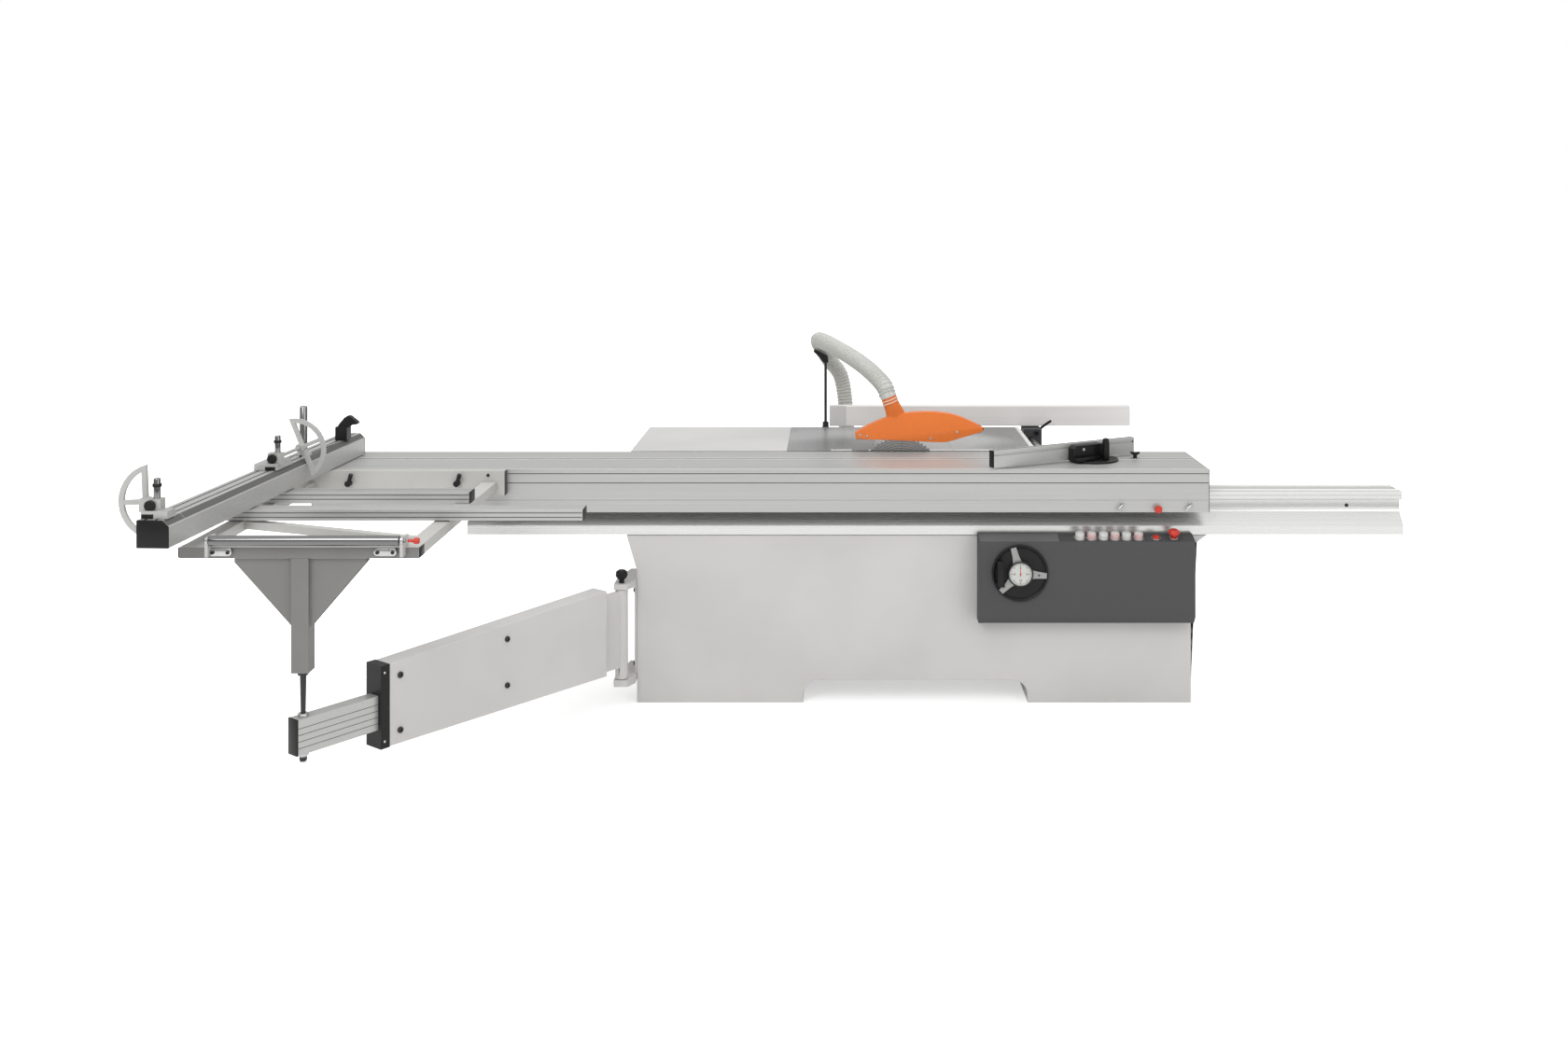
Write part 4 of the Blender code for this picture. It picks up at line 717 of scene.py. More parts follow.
class PANELSAW_OT_blades(bpy.types.Operator):
    """Saw blade, scoring blade, arbor and riving knife"""
    bl_idname = "panel_saw.blades"
    bl_label = "Blades"

    def execute(self, context):
        centre = BLADE_CENTRE
        add_piece("saw_blade_plate", [toothed_disc(centre, 0.1575, sizes().tooth_count, 0.0026, 0.0125)],
                  "saw_spindle", "blade steel", replaces=["saw_blade"])
        slots = []
        for k in range(5):
            angle = 2 * math.pi * k / 5 + 0.3
            ray = np.array([math.cos(angle), math.sin(angle)])
            path = [(centre[0] + ray[0] * r + 0.004 * math.sin(r * 60) * ray[1], centre[1] - 0.0014,
                     centre[2] + ray[1] * r - 0.004 * math.sin(r * 60) * ray[0])
                    for r in np.linspace(0.105, 0.14, 10)]
            slots.append(tube(path, 0.0006, 6))
        add_piece("blade_relief_slots", slots, "saw_spindle", "black oxide")
        scorer = toothed_disc((0.48, 0.385, 0.788), 0.06, 24, 0.003, 0.0225)
        add_piece("scoring_blade_plate", [scorer, cylinder(0.024, 0, 0.018, (0.48, 0.3774, 0.788), BACK)],
                  "scoring_spindle", "blade steel", replaces=["scoring_blade"])
        soften("bright steel", 0.0006, "saw_arbor")
        soften("bright steel", 0.0003, "riving_knife")
        return {"FINISHED"}


GUARD_EDGE = [(0.0729, 0.921), (0.076, 0.904), (0.08, 0.8985), (0.14, 0.8962), (0.2156, 0.894),
              (0.3, 0.8903), (0.3932, 0.886), (0.43, 0.889), (0.47, 0.9005), (0.51, 0.9125),
              (0.55, 0.9245), (0.559, 0.933), (0.5575, 0.9425), (0.54, 0.953), (0.5167, 0.965),
              (0.4587, 0.988), (0.401, 0.999), (0.343, 1.002), (0.2697, 0.998), (0.1943, 0.981),
              (0.1306, 0.9555), (0.086, 0.931)]


class PANELSAW_OT_guard(bpy.types.Operator):
    """Blade guard: a smooth shell with its spigot, rims and bolts"""
    bl_idname = "panel_saw.guard"
    bl_label = "Blade guard"

    def execute(self, context):
        outline = smooth_curve(GUARD_EDGE, 5, closed=True)
        shells = [plate(outline, 0.369, 0.3735, "Y", 0.0018), plate(outline, 0.3965, 0.401, "Y", 0.0018)]
        top = outline[(outline[:, 1] > 0.9215)]
        top = top[np.argsort(top[:, 0])]
        slope = np.gradient(top, axis=0)
        normal = np.stack([-slope[:, 1], slope[:, 0]], -1)
        normal /= np.linalg.norm(normal, axis=1)[:, None]
        band = []
        for inset, y in ((0.0006, 0.3725), (0.0006, 0.3975), (0.0046, 0.3975), (0.0046, 0.3725)):
            flat = top - normal * inset
            band.append(np.stack([flat[:, 0], np.full(len(flat), y), flat[:, 1]], -1))
        shells.append(grid(np.stack(band, 1)))
        spigot = np.array([[0.233, 0.37, 0.975], [0.1993, 0.37, 1.06]])
        along = (spigot[1] - spigot[0]) / np.linalg.norm(spigot[1] - spigot[0])
        side = np.cross((0, 1.0, 0), along)
        turn = np.linspace(0, 2.0 * np.pi, 40, endpoint=False)[None, :, None]
        # Share of the way up the neck, half width and half depth of each ring
        share, wide, deep = np.array([
            (0.1, 0.0345, 0.015), (0.22, 0.0345, 0.0168), (0.34, 0.0335, 0.0205), (0.46, 0.032, 0.025),
            (0.58, 0.0308, 0.0285), (0.7, 0.03, 0.0298), (0.98, 0.0297, 0.0297), (1.0, 0.0288, 0.0288),
            (1.0, 0.0268, 0.0268), (0.97, 0.0262, 0.0262), (0.5, 0.0262, 0.0262)]).T[:, :, None, None]
        start = spigot[0] + np.array([0, 0.015, 0.0])
        neck = (start * (1 - share) + spigot[1] * share + wide * np.cos(turn) * side
                + deep * np.sin(turn) * np.array([0, 1.0, 0.0]))
        shells.append(grid(neck))
        add_piece("guard_shell", shells, "guard", "orange shell", replaces=["blade_guard"])
        bolts = [screw_head((x, 0.3692, z), FRONT, 0.005, 0.0035)
                 for x, z in ((0.0925, 0.915), (0.118, 0.9105), (0.36, 0.902), (0.46, 0.926))]
        add_piece("guard_bolts", bolts, "guard", "bright steel")
        bands = [ring([(0.0292, d), (0.0322, d), (0.0322, d + 0.004), (0.0292, d + 0.004)], spigot[0],
                      along, 40) for d in (0.068, 0.079)]
        add_piece("spigot_bands", bands, "guard", "cuff band")
        return {"FINISHED"}


HOSE_ROUTE = [(0.197, 0.37, 1.066), (0.179, 0.396, 1.104), (0.128, 0.488, 1.148), (0.0575, 0.65, 1.1838),
              (-0.0443, 0.9, 1.2163), (-0.075, 1.0, 1.2097), (-0.032, 1.1, 1.124), (0.019, 1.15, 1.048),
              (0.0405, 1.17, 0.9155), (0.045, 1.175, 0.76), (0.045, 1.142, 0.63), (0.045, 1.065, 0.562),
              (0.045, 0.9765, 0.55),]
HOSE_RADIUS, RIB_DEPTH, HOSE_SIDES = 0.0338, 0.005, 28


def hose_path(step):
    """The hose's centre line, resampled to even steps of its own length."""
    lead = np.array([[0.1991, 0.37, 1.0606]])
    tail = np.array([[0.045, 0.966, 0.55]])
    curve = np.vstack([lead, smooth_curve(HOSE_ROUTE, 24), tail])
    run = np.concatenate([[0.0], np.cumsum(np.linalg.norm(np.diff(curve, axis=0), axis=1))])
    even = np.arange(0, run[-1], step)
    return np.stack([np.interp(even, run, curve[:, k]) for k in range(3)], -1), even


class PANELSAW_OT_hose(bpy.types.Operator):
    """Dust hose: a ribbed wall in a rear length and three lengths towards the guard, and its rear cuff"""
    bl_idname = "panel_saw.hose"
    bl_label = "Dust hose"

    def execute(self, context):
        pitch = sizes().rib_pitch
        path, run = hose_path(pitch / 6)
        ribs = HOSE_RADIUS - RIB_DEPTH + RIB_DEPTH * np.abs(np.cos(np.pi * run / pitch))
        # From the guard to the port: name, depth that the length reaches, the bodies at its two ends, and two
        # points along it
        lengths = (("mouth", 0.46, "lift_unit", "guard", (0.143, 0.458, 1.139), (0.196, 0.373, 1.068)),
                   ("neck", 0.56, "tilt_unit", "lift_unit", (0.1, 0.557, 1.163), (0.137, 0.472, 1.143)),
                   ("span", 0.9, "machine", "tilt_unit", (-0.04, 0.88, 1.21), (0.096, 0.57, 1.166)))
        begin, walls = 0, []
        for name, depth, near, far, start, end in lengths:
            last = np.argmax(path[:, 1] > depth)
            walls.append((name, slice(begin, last), near, far, start, end))
            begin = last - 1
        add_piece("hose_rear", [tube(path[begin:], ribs[begin:], HOSE_SIDES)], "machine", "grey hose",
                  replaces=["dust_hose"])
        for name, part, near, far, start, end in reversed(walls):
            wall = add_piece("hose_" + name, [tube(path[part], ribs[part], HOSE_SIDES)], None, "grey hose")
            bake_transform(wall)
        rear_cuff = lathe([(0.0365, 0), (0.0365, 0.04), (0.0345, 0.043)], (0.045, 0.966, 0.55), BACK, 36)
        add_piece("hose_rear_cuff", [rear_cuff], "machine", "black plastic")
        return {"FINISHED"}


WHEEL = np.array([0.652, -0.0345, 0.488])
WHEEL_CENTRE, WHEEL_FACE = WHEEL[[0, 2]], WHEEL[1]


class PANELSAW_OT_handwheel(bpy.types.Operator):
    """Tilt handwheel: dished rim, three spokes, gauge dial and fold-away grip"""
    bl_idname = "panel_saw.handwheel"
    bl_label = "Tilt handwheel"

    def execute(self, context):
        dish = lathe([(0.092, 0), (0.0985, 0.0015), (0.1, 0.005), (0.0985, 0.0085), (0.095, 0.0095),
                      (0.0915, 0.0075), (0.088, 0.003), (0.05, 0.0025)], WHEEL, FRONT, 72)
        ears = [block((0.58 + s * 0.01375 - 0.0022, -0.0545, 0.44),
                      (0.58 + s * 0.01375 + 0.0022, -0.038, 0.456), 0.0012) for s in (-1, 1)]
        add_piece("wheel_dish", [dish, *ears], "handwheel", "black plastic", replaces=["tilt_handwheel"])
        spokes = []
        for degrees in (105.0, -5.0, -137.0):
            along, side = spoke(math.radians(degrees))
            ends = [(0.036, 0.017), (0.06, 0.0128), (0.0945, 0.0098)]
            edge = [along * r + side * w for r, w in ends] + [along * r - side * w for r, w in ends[::-1]]
            outline = np.array(edge) + WHEEL_CENTRE
            spokes.append(plate(outline, WHEEL_FACE - 0.0125, WHEEL_FACE - 0.002, "Y", 0.003, 4))
        add_piece("wheel_spokes", spokes, "handwheel", "wheel silver")
        pin = lathe([(0.0036, 0), (0.0036, 0.0012), (0, 0.0014)],
                    WHEEL + np.array([0.066, -0.0122, -0.0058]), FRONT, 20)
        line = ring([(0.04, 0.0226), (0.0432, 0.0222), (0.0444, 0.019), (0.045, 0.019), (0.045, 0.0215),
                     (0.0436, 0.0234), (0.04, 0.0236)], WHEEL, FRONT, 64)
        add_piece("dial_outline", [pin, line], "handwheel", "black oxide")
        rim = lathe([(0.044, 0.002), (0.044, 0.018), (0.0425, 0.0222), (0.04, 0.0228), (0.0388, 0.0205),
                     (0.0388, 0.019)], WHEEL, FRONT, 64)
        add_piece("dial_rim", [rim], "handwheel", "dial rim")
        face = cylinder(0.0386, 0.0185, 0.0196, WHEEL, FRONT, 64)
        add_piece("dial_face", [face], "handwheel", "dial white")
        marks = []
        for k in range(40):
            a = 2 * math.pi * k / 40
            reach = 0.0075 if k % 5 == 0 else 0.0045
            corners = radial_mark(a, 0.0366, reach, 0.0009 if k % 5 == 0 else 0.0005)
            marks.append(plate(corners + WHEEL_CENTRE, WHEEL_FACE - 0.0199, WHEEL_FACE - 0.0195, "Y", *MARK))
        add_piece("dial_marks", marks, "handwheel", "dial ink")
        number_piece("dial_numbers", ("0", "10", "20", "30"), 0.0225, 0.01)
        needle = plate(np.array([(-0.0012, -0.008), (0.0012, -0.008), (0.0004, 0.027), (-0.0004, 0.027)])
                       + WHEEL_CENTRE, WHEEL_FACE - 0.0208, WHEEL_FACE - 0.02, "Y", 0.0001, 2)
        hub = lathe([(0.003, 0.0194), (0.0026, 0.0218), (0, 0.022)], WHEEL, FRONT, 24)
        add_piece("dial_needle", [needle, hub], "handwheel", "needle red")
        soften("black plastic", 0.0016, "handwheel_grip")
        return {"FINISHED"}


def number_piece(name, words, radius, height):
    """Numbers round a dial, each a flat text turned into a mesh and stood up to face -Y."""
    shapes = []
    for k, word in enumerate(words):
        turn = math.radians(90.0 - 360.0 * k / len(words))
        curve = bpy.data.curves.new(name, "FONT")
        curve.body, curve.size, curve.extrude = word, height, 0.0001
        curve.align_x, curve.align_y = "CENTER", "CENTER"
        holder = bpy.data.objects.new(name, curve)
        bpy.context.scene.collection.objects.link(holder)
        bpy.context.view_layer.update()
        mesh = bpy.data.meshes.new_from_object(holder.evaluated_get(bpy.context.evaluated_depsgraph_get()))
        flat = np.zeros(len(mesh.vertices) * 3)
        mesh.vertices.foreach_get("co", flat)
        flat = flat.reshape(-1, 3)
        stood = np.stack([flat[:, 0], -flat[:, 2], flat[:, 1]], -1)
        place = WHEEL + np.array([radius * math.cos(turn), -0.0198, radius * math.sin(turn)])
        shapes.append((stood + place, [list(polygon.vertices) for polygon in mesh.polygons]))
        bpy.data.objects.remove(holder, do_unlink=True)
    return add_piece(name, shapes, "handwheel", "dial ink")


PUSH_BUTTONS = [("push_button_%d" % (k + 1), x, ("clear cap", "pink cap")[k % 2])
                for k, x in enumerate((0.868, 0.91, 0.952, 0.993, 1.034, 1.077))]
STOPS = [("stop_button", 1.14, "red plastic"), ("emergency_stop", 1.203, "red plastic")]


class PANELSAW_OT_controls(bpy.types.Operator):
    """Control box with its lid strip, button panel, bezels and buttons"""
    bl_idname = "panel_saw.controls"
    bl_label = "Controls"

    def execute(self, context):
        soften("dark coat", 0.0018, "control_box")
        slope = math.radians(17.7)
        lift = np.array([0, -math.sin(slope), math.cos(slope)])
        along = np.array([0, math.cos(slope), math.sin(slope)])
        corner = np.array([0, -0.033, 0.5985])

        section = rectangle((0.0012, 0.0002), (0.053, 0.001))
        lid = extrude(section, corner + (0.51, 0, 0), corner + (0.792, 0, 0), along, lift)
        add_piece("box_lid_strip", [lid], "machine", "strip coat")
        bezels, lenses = [], []
        for node, x, finish in PUSH_BUTTONS + STOPS:
            foot = np.array([x, -0.009, 0.5985 + 0.024 * math.tan(slope)])
            radius = {"stop_button": 0.0125, "emergency_stop": 0.011}.get(node, 0.0165)
            rim = [(radius + 0.0012, 0), (radius + 0.0042, 0), (radius + 0.0042, 0.0022),
                    (radius + 0.003, 0.0032), (radius + 0.0012, 0.0026)]
            bezels.append(ring(rim, foot, lift, 36))
            soften(finish, 0.0004, node)
            if (node, x, finish) in PUSH_BUTTONS:
                lens = lathe([(0.0125, 0.0222), (0.0115, 0.0228), (0, 0.023)], foot, lift, 32)
                lenses.append((node, lens))
        add_piece("button_bezels", bezels, "machine", "bright steel")
        for node, shape in lenses:
            add_piece(node + "_lens", [shape], node + "_body", "clear cap")
        return {"FINISHED"}


ROLLER_AXIS = (-1.06, 0.8355)
BEAM_BOLT = 1.2746


class PANELSAW_OT_outrigger(bpy.types.Operator):
    """Outrigger frame, its cross beams, edge roller, levers and post"""
    bl_idname = "panel_saw.outrigger"
    bl_label = "Outrigger"

    def execute(self, context):
        # The frame and post finishes are the light grey paint darkened as painted shade.
        soften("shaded frame coat", 0.0016, "outrigger_frame")
        soften("shaded post coat", 0.0012, "outrigger_post")
        soften("black oxide", 0.0005, "post_rod", slot="black_steel")
        soften("extrusion x", 0.0012, "mid_beam", "extension_bar")
        soften("roller steel", 0.0008, "edge_roller")
        soften("black plastic", 0.0008, "clamp_lever_left", "clamp_lever_right")
        caps = [block((-1.9032, -1.0385, 0.7815), (-1.8988, -0.9915, 0.8105), 0.0012),
                block((-1.206, -1.0385, 0.7815), (-1.2028, -0.9915, 0.8105), 0.0012)]
        # A darker sheet over the frame's front tube: painted shade and dark reflection.
        face = block((-1.8985, -1.0408, 0.7806), (-1.2062, -1.04, 0.8114), *SHEET)
        add_piece("frame_front_shade", [face], "table", "shaded post coat")
        add_piece("frame_end_caps", caps, "table", "black plastic")
        for name, body, finish, low, high in (("extension_end_cap", "extension", "black plastic",
                                               (-0.7905, -0.6945, 0.8155), (-0.7872, -0.6325, 0.8495)),
                                              ("middle_end_cap", "table", "black plastic",
                                               (-1.2105, -0.4195, 0.813), (-1.2072, -0.3505, 0.8495)),
                                              ("rear_end_cap", "table", "dark coat",
                                               (-1.1775, -0.0345, 0.7635), (-1.174, -0.0035, 0.8495))):
            add_piece(name, [block(low, high, 0.0012)], body, finish)
        # Dark strips in each groove of the extension bar and the middle beam: painted shade.
        groove_shade = [block((-1.929, -0.6957, z), (-0.792, -0.6946, z + 0.003), *SHEET)
                   for z in (0.824, 0.838)]
        add_piece("extension_groove_shade", groove_shade, "extension", "slot dark")
        lines = [block((-1.929, -0.4207, z), (-1.211, -0.4196, z + 0.003), *SHEET) for z in (0.825, 0.839)]
        lines += [block((-1.929, y, 0.8496), (-1.211, y + 0.003, 0.8504), *SHEET) for y in (-0.4, -0.373)]
        add_piece("middle_beam_groove_shade", lines, "table", "slot dark")
        brackets, bolts = [], []
        for x, y in ((-1.775, -1.053), (-1.3, -1.053)):
            oval = np.vstack([arc((x - 0.022, 0.8), 0.011, 90, 270, 10),
                              arc((x + 0.022, 0.8), 0.011, 270, 450, 10)])
            brackets.append(plate(oval, y, y + 0.0125, "Y", 0.0012))
            bolts += [screw_head((x + dx, y, 0.8), FRONT, 0.0055, 0.004) for dx in (-0.022, 0.022)]
        add_piece("roller_brackets", brackets, "table", "bright steel")
        bolts += [screw_head((x, -0.35, 0.7815), DOWN, 0.006, 0.004) for x in (-1.875, -1.23)]
        bolts += [screw_head((x, -0.0352, 0.835), FRONT, 0.0055, 0.0035) for x in (-1.87, -1.235)]
        add_piece("frame_bolts", bolts, "table", "black oxide")
        plunger = [lathe([(0.0045, 0), (0.0045, 0.016), (0.0085, 0.018), (0.0095, 0.026), (0.008, 0.033),
                          (0, 0.034)], (-1.232, *ROLLER_AXIS), ALONG, 24)]
        add_piece("roller_plunger", plunger, "table", "red plastic")
        spindle_rings = [cylinder(0.0135, 0, 0.006, (x, *ROLLER_AXIS), ALONG, 24)
                         for x in (-1.8105, -1.2505)]
        add_piece("roller_collars", spindle_rings, "table", "bright steel")
        return {"FINISHED"}


class PANELSAW_OT_crosscut_fence(bpy.types.Operator):
    """Crosscut fence, telescopic end, flip stops and hold-down lever"""
    bl_idname = "panel_saw.crosscut_fence"
    bl_label = "Crosscut fence"

    def execute(self, context):
        soften("extrusion y", 0.0008, "crosscut_fence", "fence_extension")
        near, seam, far = -1.4785, -1.3785, 0.06
        for name, body, low, high in (("fence", "fence", seam + 0.002, far),
                                      ("extension", "fence_end", near, seam)):
            floors = [block((x - 0.0039, low, 0.9222), (x + 0.0039, high, 0.9236), *SHEET)
                      for x in (-0.026, 0.006)]
            add_piece(name + "_slot_floor", floors, body, "black oxide", FENCE_FRAME)
        tape, right, up = rectangle((0, 0), (0.0195, 0.0009)), (0.7071, 0, -0.7071), (0.7071, 0, 0.7071)
        for name, body, low, high in (("fence", "fence", seam + 0.004, far - 0.004),
                                      ("extension", "fence_end", near + 0.002, seam - 0.001)):
            strip = extrude(tape, (0.028, low, 0.9292), (0.028, high, 0.9292), right, up)
            add_piece(name + "_scale_strip", [strip], body, "slot dark", FENCE_FRAME)
        cap = [(-0.0455, 0.8525), (0.0455, 0.8525), (0.0455, 0.9122), (0.0272, 0.9305), (-0.0455, 0.9305)]
        for name, body, low, high in (("fence_near_cap", "fence_end", near - 0.0042, near + 0.0002),
                                      ("fence_far_cap", "fence", far - 0.0002, far + 0.004)):
            add_piece(name, [plate(cap, low, high, "Y", 0.0012)], body, "black plastic", FENCE_FRAME)
        for stop, front, x, z in (("near", -1.4645, -0.023, 0.966), ("far", -0.724, 0.012, 0.9685)):
            soften("ring satin", 0.0022, "stop_ring_" + stop, segments=3)
            soften("extrusion y", 0.0016, "stop_block_" + stop, segments=3)
            knob = lathe([(0.0125, 0), (0.0152, 0.003), (0.0152, 0.01), (0.013, 0.013), (0, 0.0135)],
                         (x, front + 0.0198, z - 0.002), FRONT, 28)
            foot = block((x - 0.017, front - 0.001, 0.9312), (x + 0.017, front + 0.0003, 0.943), 0.0005, 2)
            collar = lathe([(0.0118, 0), (0.0124, 0.001), (0.0124, 0.008), (0.0118, 0.009)],
                           (x + 0.012, front + 0.032, z + 0.048), UP, 24)
            add_piece("stop_knob_" + stop, [knob, foot, collar], stop + "_block", "black plastic",
                      FENCE_FRAME)
            sleeve = lathe([(0.0095, 0), (0.0095, 0.054), (0.0082, 0.0565), (0, 0.057)],
                           (x + 0.012, front + 0.032, z + 0.0155), UP, 24)
            add_piece("stop_screw_" + stop, [sleeve], stop + "_block", "chrome", FENCE_FRAME)
        post = lathe([(0.0134, 0), (0.0134, 0.004), (0.0129, 0.006), (0.0129, 0.156), (0.0105, 0.1595),
                      (0, 0.16)], (0.008, -0.435, 0.942), UP, 28)
        add_piece("fence_post_sleeve", [post], "fence", "chrome", FENCE_FRAME)
        soften("black plastic", 0.002, "hold_down_lever")
        return {"FINISHED"}


class PANELSAW_OT_mitre_fence(bpy.types.Operator):
    """Mitre fence: protractor head, knob and bar"""
    bl_idname = "panel_saw.mitre_fence"
    bl_label = "Mitre fence"

    def execute(self, context):
        hub = (0.015, 0)
        disc = arc(hub, 0.1, 180, 360, 40)
        lip = np.vstack([arc(hub, 0.0995, 212, 328, 40), arc(hub, 0.09, 328, 212, 40)])
        boss = lathe([(0.014, 0), (0.014, 0.0045), (0, 0.005)], (0, -0.004, 0.8518), UP, 28)
        head = [plate(disc, 0.8515, 0.856, "Z", 0.001), plate(lip, 0.853, 0.8568, "Z", 0.0006), boss]
        add_piece("mitre_plate", head, "mitre", "black plastic", MITRE_FRAME, replaces=["mitre_head"])
        soften("extrusion x", 0.0008, "mitre_bar")
        caps = [block((-0.4235, 0.0005, 0.8565), (-0.4195, 0.0265, 0.9175), 0.0012),
                block((0.2158, 0.0005, 0.8565), (0.2185, 0.0265, 0.9175), 0.0008)]
        add_piece("mitre_bar_caps", caps, "mitre_rule", "black plastic", MITRE_FRAME)
        # A dark strip in the bar's top slot: painted shade.
        top_slot_shade = block((-0.419, 0.01, 0.9164), (0.215, 0.017, 0.9173), *THIN)
        add_piece("mitre_bar_slot_shade", [top_slot_shade], "mitre_rule", "slot dark", MITRE_FRAME)
        ticks = []
        for degrees in range(215, 326, 5):
            a = math.radians(degrees)
            reach = 0.006 if degrees % 15 == 5 else 0.0035
            corners = radial_mark(a, 0.0985, reach, 0.0004) + hub
            ticks.append(plate(corners, 0.8566, 0.857, "Z", *MARK))
        add_piece("mitre_scale", ticks, "mitre", "dial white", MITRE_FRAME)
        wall = plate([(-0.092, 0.8574), (0.045, 0.8574), (0.045, 0.913), (-0.078, 0.913), (-0.09, 0.902)],
                     -0.033, 0.0004, "Y", 0.003)
        foot = plate([(-0.092, -0.056), (-0.06, -0.064), (0.02, -0.04), (0.045, -0.02), (-0.09, -0.02)],
                     0.8574, 0.87, "Z", 0.002)
        knob = lathe([(0.0125, 0.8574), (0.0135, 0.864), (0.013, 0.92), (0.0105, 0.933), (0.006, 0.935),
                      (0, 0.9355)], (0.042, -0.052, 0), UP, 28)
        add_piece("mitre_casting", [wall, foot, knob], "mitre_rule", "black plastic", MITRE_FRAME)
        plug = lathe([(0.0048, 0), (0.0048, 0.0012), (0, 0.0014)], (-0.045, -0.0326, 0.8975), FRONT, 20)
        add_piece("mitre_plug", [plug], "mitre_rule", "clear cap", MITRE_FRAME)
        foot_x, foot_y = 1.11, 0.22
        washer = lathe([(0.015, 0), (0.015, 0.0022), (0, 0.0024)], (foot_x, foot_y, 0.8508), UP, 28)
        add_piece("bar_foot_washer", [washer], "mitre_rule", "bright steel")
        wing = tube([(foot_x + reach, foot_y, z) for reach, z in (
            (-0.017, 0.8735), (-0.009, 0.87), (0, 0.868), (0.009, 0.87), (0.017, 0.8735))],
            [0.0035, 0.0062, 0.0078, 0.0062, 0.0035], 14)
        neck = lathe([(0.0075, 0), (0.0065, 0.015), (0, 0.0155)], (foot_x, foot_y, 0.8525), UP, 24)
        add_piece("bar_foot_knob", [wing, neck], "mitre_rule", "black plastic")
        return {"FINISHED"}


class PANELSAW_OT_swing_arm(bpy.types.Operator):
    """Swing arm with its collar, bolts, ribbed inner beam with painted groove shade between its ribs, and lock
    knob
    """
    bl_idname = "panel_saw.swing_arm"
    bl_label = "Swing arm"

    def execute(self, context):
        soften("body coat", 0.003, "swing_arm")
        end = 1.031
        outer = rectangle((-0.0365, 0.1565), (0.0365, 0.4085))
        inner = rectangle((-0.0235, 0.2105), (0.0235, 0.3175))
        rings = [(outer, end - 0.028), (outer, end + 0.004), (inner, end + 0.004), (inner, end - 0.028)]
        points = np.stack([np.array([(s, u, v) for u, v in loop]) for loop, s in rings])
        add_piece("arm_collar", [grid(points, close_rows=True)], "arm", "black plastic", ARM_FRAME)
        bolts = [screw_head((s, side * 0.0352, z), (0, side, 0), 0.0095, 0.0055) for side in (-1, 1)
                 for s, z in ((0.549, 0.228), (0.549, 0.379), (0.965, 0.198), (0.965, 0.366))]
        add_piece("arm_bolts", bolts, "arm", "black oxide", ARM_FRAME)
        screws = [screw_head((end - 0.009, side * 0.0362, z), (0, side, 0), 0.0038, 0.0022, False)
                  for side in (-1, 1) for z in (0.178, 0.386)]
        add_piece("collar_screws", screws, "arm", "bright steel", ARM_FRAME)
        nuts = [lathe([(0.015, 0), (0.016, 0.001), (0.016, 0.0085), (0.015, 0.0095)],
                      (BEAM_BOLT, 0, z), UP, 6) for z in (0.316, 0.2022)]
        nuts.append(cylinder(0.018, 0, 0.0025, (BEAM_BOLT, 0, 0.2095), UP, 24))
        add_piece("beam_nuts", nuts, "arm_beam", "bright steel", ARM_FRAME)
        tip_cap = lathe([(0, 0), (0.008, 0.001), (0.011, 0.006), (0.011, 0.014)],
                        (BEAM_BOLT, 0, 0.1835), UP, 24)
        add_piece("beam_tip", [tip_cap], "arm_beam", "black oxide", ARM_FRAME)
        soften("extrusion x", 0.0012, "inner_beam")
        tip = 1.3046
        # Dark lines along the inner beam's sides: painted shade in the groove between each pair of ribs.
        ribs = [block((0.33, side * 0.0219 - 0.0006, z), (tip - 0.001, side * 0.0219 + 0.0006, z + 0.0018),
                      *GROOVE) for side in (-1, 1) for z in (0.232, 0.251, 0.27, 0.289)]
        add_piece("inner_beam_groove_shade", ribs, "arm_beam", "slot dark", ARM_FRAME)
        cap = block((tip - 0.0002, -0.0228, 0.211), (tip + 0.005, 0.0228, 0.317), 0.0015)
        add_piece("beam_end_cap", [cap], "arm_beam", "black plastic", ARM_FRAME)
        soften("black plastic", 0.0008, "arm_lock_knob")
        return {"FINISHED"}


class PANELSAW_OT_rip_fence(bpy.types.Operator):
    """Rip fence: grooved bar, end piece and cast head"""
    bl_idname = "panel_saw.rip_fence"
    bl_label = "Rip fence"

    def execute(self, context):
        soften("fence light", 0.0015, "rip_fence")
        soften("rough casting", 0.003, "rip_head")
        add_piece("rip_fence_shoe", [block((-0.0285, 1.0092, 0.8505), (0.042, 1.01, 0.936), *SHEET)],
                  "rip_rule", "bright lip")
        clamp = [screw_head((0.84, 0.9602, 0.83), FRONT, 0.01, 0.01),
                 tube(smooth_curve([(0.855, 0.985, 0.84), (0.88, 0.975, 0.862), (0.902, 0.962, 0.88)], 8),
                      0.0055, 14)]
        add_piece("rip_head_clamp", clamp, "rip_carrier", "black plastic")
        return {"FINISHED"}


CAMERA_PLACE = (0.0, -5.45, 1.833)
# Name, place, aim, width and watts of the soft lamps
LAMPS = (("key lamp", (-2.5, -5.5, 5.0), (0.0, 0.0, 0.6), 3.0, 128.0),
         ("fill lamp", (4.0, -5.0, 3.2), (0.3, 0.2, 0.6), 3.0, 45.0),
         ("top lamp", (0.0, 1.0, 6.0), (0.0, 0.2, 0.8), 4.0, 75.0))


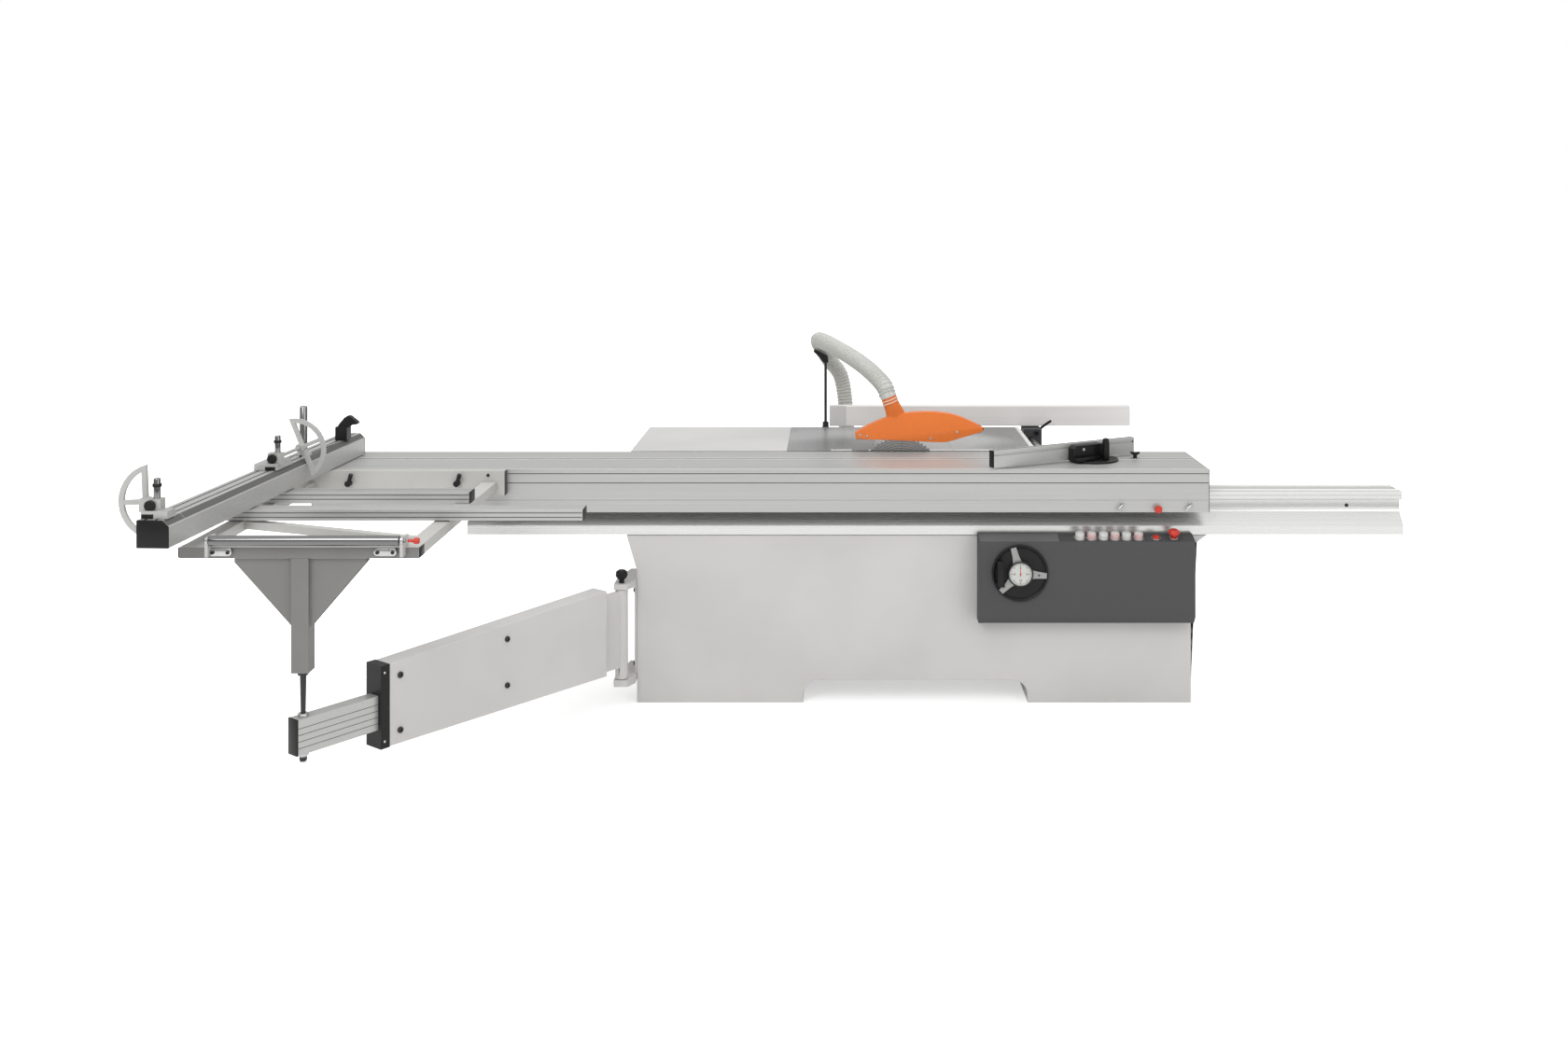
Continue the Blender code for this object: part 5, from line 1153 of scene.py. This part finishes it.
class PANELSAW_OT_stage(bpy.types.Operator):
    """Floor, soft lamps, world and camera"""
    bl_idname = "panel_saw.stage"
    bl_label = "Stage"

    def execute(self, context):
        scene = context.scene
        floor_mesh = bpy.data.meshes.new("floor")
        floor_mesh.from_pydata([(-60, -30, 0), (60, -30, 0), (60, 90, 0), (-60, 90, 0)], [], [(0, 1, 2, 3)])
        floor = bpy.data.objects.new("floor", floor_mesh)
        scene.collection.objects.link(floor)
        floor_mesh.materials.append(pale_floor())
        world = bpy.data.worlds.new("white studio")
        scene.world = world
        world.use_nodes = True
        tree = world.node_tree
        rays = add_node(tree, "ShaderNodeLightPath")
        seen = add_node(tree, "ShaderNodeMath", {"operation": "MAXIMUM"},
                        {0: (rays, "Is Camera Ray"), 1: (rays, "Is Transmission Ray")})
        heading = add_node(tree, "ShaderNodeTexCoord")
        height = add_node(tree, "ShaderNodeSeparateXYZ", {}, {0: (heading, "Generated")})
        sky = add_node(tree, "ShaderNodeMapRange", {"From Min": -0.05, "From Max": 0.85, "To Min": 0.2
                                                    * sizes().light, "To Max": 1.12 * sizes().light},
                       {"Value": (height, "Z")})
        strength = add_node(tree, "ShaderNodeMapRange", {"To Max": 1.0},
                            {"Value": (seen, 0), "To Min": (sky, "Result")})
        background = tree.nodes["Background"]
        background.inputs["Color"].default_value = (1.0, 1.0, 1.0, 1.0)
        tree.links.new(strength.outputs["Result"], background.inputs["Strength"])
        for name, place, aim, size, power in LAMPS:
            lamp = bpy.data.lights.new(name, "AREA")
            lamp.size = size
            lamp.energy = power * sizes().light
            holder = bpy.data.objects.new(name, lamp)
            holder.location = place
            holder.rotation_euler = (Vector(aim) - Vector(place)).to_track_quat("-Z", "Y").to_euler()
            scene.collection.objects.link(holder)
        lens = bpy.data.cameras.new("camera")
        lens.lens, lens.sensor_width = 35.04, 36.0
        lens.shift_x, lens.shift_y = -0.0333, -0.2095
        camera = bpy.data.objects.new("camera", lens)
        camera.location = home(CAMERA_PLACE)
        camera.rotation_euler = (math.radians(90.0), 0.0, 0.0)
        scene.collection.objects.link(camera)
        scene.camera = camera
        scene.view_settings.view_transform = "Standard"
        return {"FINISHED"}


def pale_floor():
    """Seamless studio paper: it goes to white away from the machine, and keeps a soft shadow under it."""
    made = bpy.data.materials.new("white studio floor")
    made.use_nodes = True
    tree = made.node_tree
    shader = tree.nodes["Principled BSDF"]
    shader.inputs["Base Color"].default_value = linear("#e6e6e6")
    shader.inputs["Roughness"].default_value = 0.9
    shader.inputs["Specular IOR Level"].default_value = 0.1
    shader.inputs["Emission Color"].default_value = linear("#ffffff")
    place = add_node(tree, "ShaderNodeTexCoord")
    reach = add_node(tree, "ShaderNodeVectorMath", {"operation": "LENGTH"}, {0: (place, "Object")})
    glow = add_node(tree, "ShaderNodeMapRange", {"interpolation_type": "SMOOTHSTEP", "From Min": 1.4,
                                                 "From Max": 3.2, "To Min": 0.46, "To Max": 1.0},
                    {"Value": (reach, "Value")})
    rays = add_node(tree, "ShaderNodeLightPath")
    seen = add_node(tree, "ShaderNodeMapRange", {"To Min": 0.3, "To Max": 1.0},
                    {"Value": (rays, "Is Camera Ray")})
    strength = add_node(tree, "ShaderNodeMath", {"operation": "MULTIPLY"},
                        {0: (glow, "Result"), 1: (seen, "Result")})
    tree.links.new(strength.outputs["Value"], shader.inputs["Emission Strength"])
    return made


OPERATORS = (PANELSAW_OT_stage, PANELSAW_OT_body, PANELSAW_OT_guide_rail, PANELSAW_OT_sliding_table,
             PANELSAW_OT_blades, PANELSAW_OT_guard, PANELSAW_OT_hose, PANELSAW_OT_handwheel,
             PANELSAW_OT_controls, PANELSAW_OT_outrigger, PANELSAW_OT_crosscut_fence,
             PANELSAW_OT_mitre_fence, PANELSAW_OT_swing_arm, PANELSAW_OT_rip_fence)


class PANELSAW_PT_sidebar(bpy.types.Panel):
    """Lists the panel saw's settings and building steps"""
    bl_idname = "PANELSAW_PT_sidebar"
    bl_label = "Panel saw"
    bl_space_type = "VIEW_3D"
    bl_region_type = "UI"
    bl_category = "Panel saw"

    def draw(self, context):
        for group in (context.scene.panel_saw_colours, context.scene.panel_saw_sizes):
            for setting in group.__annotations__:
                self.layout.prop(group, setting)
        for operator in OPERATORS:
            self.layout.operator(operator.bl_idname)


CLASSES = (PanelSawColours, PanelSawSizes, *OPERATORS, PANELSAW_PT_sidebar)


def register():
    for cls in CLASSES:
        bpy.utils.register_class(cls)
    bpy.types.Scene.panel_saw_colours = bpy.props.PointerProperty(type=PanelSawColours)
    bpy.types.Scene.panel_saw_sizes = bpy.props.PointerProperty(type=PanelSawSizes)


def unregister():
    del bpy.types.Scene.panel_saw_sizes
    del bpy.types.Scene.panel_saw_colours
    for cls in reversed(CLASSES):
        bpy.utils.unregister_class(cls)


def main():
    register()
    for operator in OPERATORS:
        group, name = operator.bl_idname.split(".")
        getattr(getattr(bpy.ops, group), name)()


if __name__ == "__main__":
    main()
